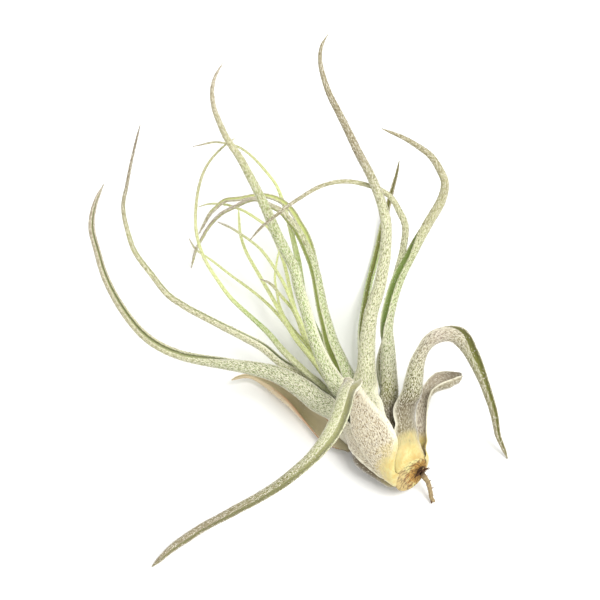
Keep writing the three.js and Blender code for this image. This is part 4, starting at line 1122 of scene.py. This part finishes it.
def scale_tree(form, pale, dull):
    """A node tree that stands scales on a leaf's skin, leaning towards its tip."""
    tree = bpy.data.node_groups.new("Leaf scales", "GeometryNodeTree")
    face = tree.interface
    face.new_socket("Skin", in_out="INPUT", socket_type="NodeSocketGeometry")
    for name, value in (("Spacing", 0.0003), ("Density", 1.2e7), ("Length", 0.0006), ("Width", 0.0002),
                        ("Lift", 0.3), ("Stray", 0.5), ("Dull", 0.5)):
        face.new_socket(name, in_out="INPUT", socket_type="NodeSocketFloat").default_value = value
    face.new_socket("Seed", in_out="INPUT", socket_type="NodeSocketInt").default_value = 1
    face.new_socket("Scales", in_out="OUTPUT", socket_type="NodeSocketGeometry")
    source = add(tree, "NodeGroupInput").outputs
    scaly = add(tree, "GeometryNodeInputNamedAttribute", {"Name": "scaly"}, data_type="FLOAT")
    flow = add(tree, "GeometryNodeInputNamedAttribute", {"Name": "flow"}, data_type="FLOAT_VECTOR")
    past = add(tree, "GeometryNodeInputNamedAttribute", {"Name": "past"}, data_type="FLOAT")
    points = add(tree, "GeometryNodeDistributePointsOnFaces", {
        "Mesh": source["Skin"], "Distance Min": source["Spacing"], "Density Max": source["Density"],
        "Density Factor": scaly.outputs["Attribute"], "Seed": source["Seed"]},
        distribute_method="POISSON")
    aim = add(tree, "FunctionNodeAxesToRotation", {
        "Primary Axis": points.outputs["Normal"], "Secondary Axis": flow.outputs["Attribute"]},
        primary_axis="Z", secondary_axis="X")
    # Each scale is lifted at its tip by a different angle, and strays a little to one side. Sockets 2
    # and 3 of a Random Value node are its least and its greatest number.
    tilt_low = add(tree, "ShaderNodeMath", {0: source["Lift"], 1: -1.5}, operation="MULTIPLY")
    tilt = add(tree, "FunctionNodeRandomValue", {
        2: tilt_low.outputs[0], 3: 0.0, "Seed": source["Seed"]}, data_type="FLOAT")
    stray_low = add(tree, "ShaderNodeMath", {0: source["Stray"], 1: -1.0}, operation="MULTIPLY")
    yaw = add(tree, "FunctionNodeRandomValue", {
        2: stray_low.outputs[0], 3: source["Stray"], "Seed": 3}, data_type="FLOAT")
    turn = add(tree, "ShaderNodeCombineXYZ", {"Y": tilt.outputs[1], "Z": yaw.outputs[1]})
    turned = add(tree, "FunctionNodeRotateRotation", {
        "Rotation": aim.outputs["Rotation"], "Rotate By": turn.outputs["Vector"]}, rotation_space="LOCAL")
    size = add(tree, "FunctionNodeRandomValue", {2: 0.65, 3: 1.25, "Seed": 5}, data_type="FLOAT")
    sizes = add(tree, "ShaderNodeCombineXYZ", {
        "X": source["Length"], "Y": source["Width"], "Z": source["Width"]})
    scaled = add(tree, "ShaderNodeVectorMath", {0: sizes.outputs["Vector"], "Scale": size.outputs[1]},
                 operation="SCALE")
    shape = add(tree, "GeometryNodeObjectInfo", {"Object": form})
    placed = add(tree, "GeometryNodeInstanceOnPoints", {
        "Points": points.outputs["Points"], "Instance": shape.outputs["Geometry"],
        "Rotation": turned.outputs["Rotation"], "Scale": scaled.outputs["Vector"]})
    # The farther along the leaf, the more of the scales are worn and dull.
    draw = add(tree, "FunctionNodeRandomValue", {2: 0.0, 3: 1.0, "Seed": 9}, data_type="FLOAT")
    worn = add(tree, "ShaderNodeMath", {
        0: past.outputs["Attribute"], 1: source["Dull"]}, operation="MULTIPLY")
    is_dull = add(tree, "FunctionNodeCompare", {0: draw.outputs[1], 1: worn.outputs[0]},
                  data_type="FLOAT", operation="LESS_THAN")
    marked = add(tree, "GeometryNodeStoreNamedAttribute", {
        "Geometry": placed.outputs["Instances"], "Name": "dull", "Value": is_dull.outputs["Result"]},
        data_type="BOOLEAN", domain="INSTANCE")
    real = add(tree, "GeometryNodeRealizeInstances", {"Geometry": marked.outputs["Geometry"]})
    picked = add(tree, "GeometryNodeInputNamedAttribute", {"Name": "dull"}, data_type="BOOLEAN")
    first = add(tree, "GeometryNodeSetMaterial", {"Geometry": real.outputs["Geometry"], "Material": pale})
    second = add(tree, "GeometryNodeSetMaterial", {
        "Geometry": first.outputs["Geometry"], "Selection": picked.outputs["Attribute"], "Material": dull})
    add(tree, "NodeGroupOutput", {"Scales": second.outputs["Geometry"]})
    return tree


# What the skins carry and the scales have no use for.
SKIN_LAYERS = ("tissue", "bare", "scaly", "downy", "flow", "past", "dull")


def run_tree(skin, tree, name, values):
    """The tree's result on a skin, as a plain mesh object of its own."""
    modifier = skin.modifiers.new("scales", "NODES")
    modifier.node_group = tree
    sockets = {s.name: s.identifier for s in tree.interface.items_tree
               if s.item_type == "SOCKET" and s.in_out == "INPUT"}
    for key, value in values.items():
        modifier[sockets[key]] = value
    bpy.context.view_layer.update()
    seen = bpy.context.evaluated_depsgraph_get()
    mesh = bpy.data.meshes.new_from_object(
        skin.evaluated_get(seen), preserve_all_data_layers=True, depsgraph=seen)
    skin.modifiers.remove(modifier)
    if not len(mesh.polygons):
        raise RuntimeError(f"{name} has no scales")
    for layer in SKIN_LAYERS:
        if layer in mesh.attributes:
            mesh.attributes.remove(mesh.attributes[layer])
    while mesh.uv_layers:
        mesh.uv_layers.remove(mesh.uv_layers[0])
    mesh.name = name
    return show(mesh, name)


def skins_tree(names):
    """All the leaves' skins together, for looking along a ray."""
    vertices, faces = [], []
    for name in names:
        mesh = bpy.data.objects[name].data
        faces += [[len(vertices) + k for k in p.vertices] for p in mesh.polygons]
        vertices += [v.co for v in mesh.vertices]
    return BVHTree.FromPolygons(vertices, faces)


def clear_covered(mesh, around):
    """Takes the scales off skin that another leaf lies close over, or that is close to the floor."""
    values = np.zeros(len(mesh.vertices), np.float32)
    mesh.attributes["scaly"].data.foreach_get("value", values)
    for k, vertex in enumerate(mesh.vertices):
        start = vertex.co + vertex.normal * SKIN_GAP * MM
        if vertex.co.z < OFF_THE_FLOOR * MM:
            values[k] = 0
        if values[k] > 0.02 and around.ray_cast(start, vertex.normal, COVERED_WITHIN * MM)[0] is not None:
            values[k] = 0
    mesh.attributes["scaly"].data.foreach_set("value", values)


# ------------------------------------------------------------------ scar and root
def scar_colour(settings, points):
    """Amber torn fibre, streaked with brown from its dark core outwards, waxy only at the rim."""
    offset = points - SCAR_CORE
    down = offset @ LEFT
    distance = np.linalg.norm(offset, axis=-1)
    angle = np.arctan2(offset @ FRONT, down)
    fibres = wobble(np.stack([angle * 5, distance * 0.5], -1), 2.2, 5)
    fine = wobble(np.stack([angle * 15, distance * 1.4], -1), 2.2, 8)
    colour = np.broadcast_to(tone(settings, "wax"), points.shape)
    amber = smooth((AMBER_RADIUS + 1.2 * fibres - distance) / 2.5)
    colour = blend(colour, tone(settings, "amber"), amber * 0.9)
    colour = blend(colour, tone(settings, "blush"), smooth((down - 3 + 0.8 * fibres) / 2.5) * 0.4)
    streak = smooth((fine + 0.5 * fibres + 0.1) / 0.5) * smooth((STREAK_RADIUS + fibres - distance) / 3.5)
    colour = blend(colour, tone(settings, "scar"), streak * 0.65)
    core = smooth((CORE_RADIUS + 0.8 * fine - distance) / 1.6)
    return blend(colour, tone(settings, "scar"), core * 0.95)


def scar_rings():
    """The stem's rings: the scar's face from its middle outwards, its edge, then the stem inside."""
    face = SCAR_HEIGHT - SCAR_GAP - SCAR_THICKNESS
    back = face + SCAR_THICKNESS
    side = -np.arange(SCAR_SIDES) * 360.0 / SCAR_SIDES
    rows = [(face, SCAR_RADIUS * (0.02 + 0.9 * k / SCAR_RINGS)) for k in range(SCAR_RINGS + 1)]
    for a in np.arange(1, 7) / 6 * math.pi / 2:
        height = face + SCAR_THICKNESS * 0.6 * (1 - math.cos(a))
        rows.append((height, SCAR_RADIUS * (0.92 + 0.08 * math.sin(a))))
    rows += [(back, SCAR_RADIUS), (back, STEM_RADIUS), (7, STEM_RADIUS), (STEM_TOP - 1, STEM_RADIUS * 0.8),
             (STEM_TOP, STEM_RADIUS * 0.45)]
    rings = np.array([bulb_point(h, side, np.full(SCAR_SIDES, r)) for h, r in rows])
    # The face is ridged from the core outwards, with a hollow at the core.
    torn = SCAR_RINGS + 5
    offset = rings[:torn] - SCAR_CORE
    distance = np.linalg.norm(offset, axis=-1)
    angle = np.arctan2(offset @ FRONT, offset @ LEFT)
    ridge = wobble(np.stack([angle * 16, distance * 1.2], -1), 2.2, 12) * smooth((6 - distance) / 3)
    hollow = 0.55 * np.exp(-(distance / 1.1) ** 2)
    rings[:torn] += AXIS * (hollow + RIDGE_HEIGHT * (1 + ridge))[..., None]
    return rings


def root_rings():
    """The root: a knotty rod."""
    path = np.array(ROOT_PATH, float)
    rings = rod(path[:, :3], path[:, 3] * 1.15, 0.12, 0.5, 14)[0]
    knots = 1 + 0.12 * wobble(rings, 1.4, 21) + 0.1 * wobble(rings, 0.6, 22)
    centre = rings.mean(axis=1, keepdims=True)
    return centre + (rings - centre) * knots[..., None]


def scar_fibres():
    """Broken fibres round the scar's core, and the root's short side shoots."""
    rng = np.random.default_rng(31)
    outside = -AXIS
    rods = []
    for _ in range(FIBRES):
        a = rng.uniform(0, 2 * math.pi)
        way = unit(LEFT * math.cos(a) + FRONT * math.sin(a) + outside * 0.1)
        begin = SCAR_CORE + way * rng.uniform(*FIBRE_STARTS) + outside * 0.1
        length = rng.uniform(*FIBRE_LENGTHS)
        lift = rng.uniform(*FIBRE_LIFTS)
        points = np.array([begin, begin + way * length * 0.5 + outside * lift * 0.6,
                           begin + way * length + outside * lift * 0.4])
        points[1:] += rng.normal(size=(2, 3)) * 0.12
        rods.append(rod(points, FIBRE_WIDTHS, 0.35, 0.1, 5)[0])
    for begin, end, width in SHOOTS:
        begin, end = np.array(begin, float), np.array(end, float)
        bend = (begin + end) / 2 + rng.normal(size=3) * 0.08
        rods.append(rod(np.array([begin, bend, end]), [width, width * 0.8, width * 0.5], 0.2, 0.1, 6)[0])
    return rods


# ------------------------------------------------------------------ settings
def length(name, text, value):
    return bpy.props.FloatProperty(name=name, description=text, default=value, unit="LENGTH")


def colour(name, text, value):
    return bpy.props.FloatVectorProperty(
        name=name, description=text, default=linear(value), size=3, min=0, max=1, subtype="COLOR")


class AirPlantColours(bpy.types.PropertyGroup):
    __annotations__ = {key: colour(*value) for key, value in PALETTE.items()}


class AirPlantScales(bpy.types.PropertyGroup):
    __annotations__ = dict(
        spacing=length("Spacing", "Least distance between two scales", 0.0003),
        size=length("Length", "Length of a scale", 0.0006),
        width=length("Width", "Width of a scale", 0.0002),
        lift=bpy.props.FloatProperty(
            name="Lift", description="How far the scales stand off the skin", default=0.3,
            subtype="ANGLE", unit="ROTATION"),
        pale=colour("Silver", "Colour of the fresh scales", "#dcd6c4"),
        dull=colour("Dull", "Colour of the scales near the tips", "#a3977f"),
        seed=bpy.props.IntProperty(name="Seed", description="Which random placing is used", default=4),
    )


class AirPlantStage(bpy.types.PropertyGroup):
    __annotations__ = dict(
        floor=colour("Floor", "Colour of the surface that the plant lies on", "#f4f4f2"),
        floor_size=length("Floor size", "Side of the floor", 6.0),
        sky=bpy.props.FloatProperty(name="Sky", description="Strength of the even light", default=1.0),
        lamp=bpy.props.FloatProperty(
            name="Lamp", description="Power of the soft lamp", default=9.0, subtype="POWER", unit="POWER"),
    )


# ------------------------------------------------------------------ operators
class AIRPLANT_OT_sheathing_leaves(bpy.types.Operator):
    """Make the thirteen leaves whose feet wrap round one another as the bulb"""
    bl_idname = "air_plant.sheathing_leaves"
    bl_label = "Sheathing Leaves"

    def execute(self, context):
        for name, leaf in LEAVES.items():
            show_leaf(name, sheathing_leaf(name), leaf["slot"], context.scene.air_plant_colours)
        return {"FINISHED"}


class AIRPLANT_OT_young_leaves(bpy.types.Operator):
    """Make the thin leaves from the middle of the bulb"""
    bl_idname = "air_plant.young_leaves"
    bl_label = "Young Leaves"

    def execute(self, context):
        for name in YOUNG_LEAVES:
            show_leaf(name, young_leaf(name), "green_leaf", context.scene.air_plant_colours)
        return {"FINISHED"}


class AIRPLANT_OT_scales(bpy.types.Operator):
    """Stand silvery scales on every leaf"""
    bl_idname = "air_plant.scales"
    bl_label = "Silvery Scales"

    def execute(self, context):
        settings = context.scene.air_plant_scales
        # Dry, papery scales that scatter light.
        pale = plain_material("silver_scale", settings.pale, 0.7)
        dull = plain_material("worn_scale", settings.dull, 0.8)
        form = scale_form()
        tree = scale_tree(form, pale, dull)
        names = [*LEAVES, *YOUNG_LEAVES]
        around = skins_tree([name + "_skin" for name in names])
        for name in names:
            skin = bpy.data.objects[name + "_skin"]
            clear_covered(skin.data, around)
            fine = YOUNG_SCALE if name in YOUNG_LEAVES else 1.0
            piece = run_tree(skin, tree, name + "_scales", {
                "Spacing": settings.spacing, "Length": settings.size * fine, "Width": settings.width * fine,
                "Lift": settings.lift, "Seed": settings.seed})
            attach(piece, "root")
            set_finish(piece, skin["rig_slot"])
        bpy.data.objects.remove(form)
        return {"FINISHED"}


class AIRPLANT_OT_stem(bpy.types.Operator):
    """Make the stem and the scar where the plant was picked"""
    bl_idname = "air_plant.stem"
    bl_label = "Scar"

    def execute(self, context):
        rings = scar_rings()
        mesh = tube_mesh("stem", [rings])
        colours = context.scene.air_plant_colours
        paint(mesh, scar_colour(colours, rings), np.zeros(rings.shape[:2]))
        mesh.materials.append(scar_material("torn_fibre"))
        piece = show(mesh, "stem_scar")
        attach(piece, "root")
        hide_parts("stem")
        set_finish(piece, "stem")
        return {"FINISHED"}


class AIRPLANT_OT_root(bpy.types.Operator):
    """Make the dried root, its side shoots and the broken fibres round it"""
    bl_idname = "air_plant.root"
    bl_label = "Root"

    def execute(self, context):
        colours = context.scene.air_plant_colours
        rings = root_rings()
        mesh = tube_mesh("root", [rings])
        near = smooth((3.2 - np.linalg.norm(rings - SCAR_CORE, axis=-1)) / 3)
        shade = blend(np.broadcast_to(tone(colours, "root"), rings.shape), tone(colours, "scar"), near)
        shade = shade * (1 + 0.25 * wobble(rings, 0.9, 41))[..., None]
        paint(mesh, np.clip(shade, 0, 1), np.zeros(rings.shape[:2]))
        mesh.materials.append(scar_material("dry_root"))
        piece = show(mesh, "root_body")
        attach(piece, "root")
        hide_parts("root")
        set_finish(piece, "root")
        fibres = tube_mesh("root_fibres", scar_fibres())
        # Dead, brittle plant fibre.
        fibres.materials.append(plain_material("dead_fibre", tone(colours, "scar") * 1.5, 0.8))
        piece = show(fibres, "root_fibres")
        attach(piece, "root")
        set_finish(piece, "root")
        return {"FINISHED"}


class AIRPLANT_OT_stage(bpy.types.Operator):
    """Make the floor, the light and the camera"""
    bl_idname = "air_plant.stage"
    bl_label = "Stage"

    def execute(self, context):
        settings = context.scene.air_plant_stage
        scene = context.scene
        half = settings.floor_size / 2
        mesh = bpy.data.meshes.new("floor")
        corners = [(-half, -half, 0), (half, -half, 0), (half, half, 0), (-half, half, 0)]
        mesh.from_pydata(corners, [], [(0, 1, 2, 3)])
        floor = show(mesh, "floor")
        # A matt white board.
        mesh.materials.append(plain_material("white_board", settings.floor, 0.8))
        world = bpy.data.worlds.new("even_light")
        world.use_nodes = True
        back = world.node_tree.nodes["Background"]
        back.inputs["Color"].default_value = (1, 1, 1, 1)
        back.inputs["Strength"].default_value = settings.sky
        scene.world = world
        lamp = bpy.data.lights.new("soft_lamp", "AREA")
        lamp.shape = "DISK"
        lamp.size = LAMP_SIZE
        lamp.energy = settings.lamp
        light = bpy.data.objects.new("soft_lamp", lamp)
        light.location = LAMP_AT
        aim = Vector(LAMP_AIM) - light.location
        light.rotation_euler = aim.to_track_quat("-Z", "Y").to_euler()
        scene.collection.objects.link(light)
        lens = bpy.data.cameras.new("camera")
        lens.sensor_width = SENSOR_WIDTH
        lens.lens = SENSOR_WIDTH * FOCAL_PIXELS / IMAGE_PIXELS
        lens.clip_start, lens.clip_end = 0.01, 20
        camera = bpy.data.objects.new("camera", lens)
        camera.location = CAMERA_AT
        camera.rotation_euler = (math.radians(CAMERA_PITCH), 0, 0)
        scene.collection.objects.link(camera)
        scene.camera = camera
        scene.view_settings.view_transform = "Standard"
        return {"FINISHED"}


OPERATORS = (
    AIRPLANT_OT_sheathing_leaves, AIRPLANT_OT_young_leaves, AIRPLANT_OT_scales, AIRPLANT_OT_stem,
    AIRPLANT_OT_root, AIRPLANT_OT_stage,
)


class AIRPLANT_PT_pieces(bpy.types.Panel):
    """The plant's pieces and settings, in the 3D view's sidebar"""
    bl_idname = "AIRPLANT_PT_pieces"
    bl_label = "Air Plant"
    bl_space_type = "VIEW_3D"
    bl_region_type = "UI"
    bl_category = "Air Plant"

    def draw(self, context):
        for operator in OPERATORS:
            self.layout.operator(operator.bl_idname)
        for group in ("air_plant_colours", "air_plant_scales", "air_plant_stage"):
            box = self.layout.box()
            settings = getattr(context.scene, group)
            for key in settings.bl_rna.properties.keys():
                if key not in ("rna_type", "name"):
                    box.prop(settings, key)


CLASSES = (AirPlantColours, AirPlantScales, AirPlantStage, *OPERATORS, AIRPLANT_PT_pieces)


def register():
    for c in CLASSES:
        bpy.utils.register_class(c)
    bpy.types.Scene.air_plant_colours = bpy.props.PointerProperty(type=AirPlantColours)
    bpy.types.Scene.air_plant_scales = bpy.props.PointerProperty(type=AirPlantScales)
    bpy.types.Scene.air_plant_stage = bpy.props.PointerProperty(type=AirPlantStage)


def unregister():
    del bpy.types.Scene.air_plant_stage
    del bpy.types.Scene.air_plant_scales
    del bpy.types.Scene.air_plant_colours
    for c in reversed(CLASSES):
        bpy.utils.unregister_class(c)


def main():
    register()
    bpy.ops.air_plant.sheathing_leaves()
    bpy.ops.air_plant.young_leaves()
    bpy.ops.air_plant.scales()
    bpy.ops.air_plant.stem()
    bpy.ops.air_plant.root()
    bpy.ops.air_plant.stage()


if __name__ == "__main__":
    main()
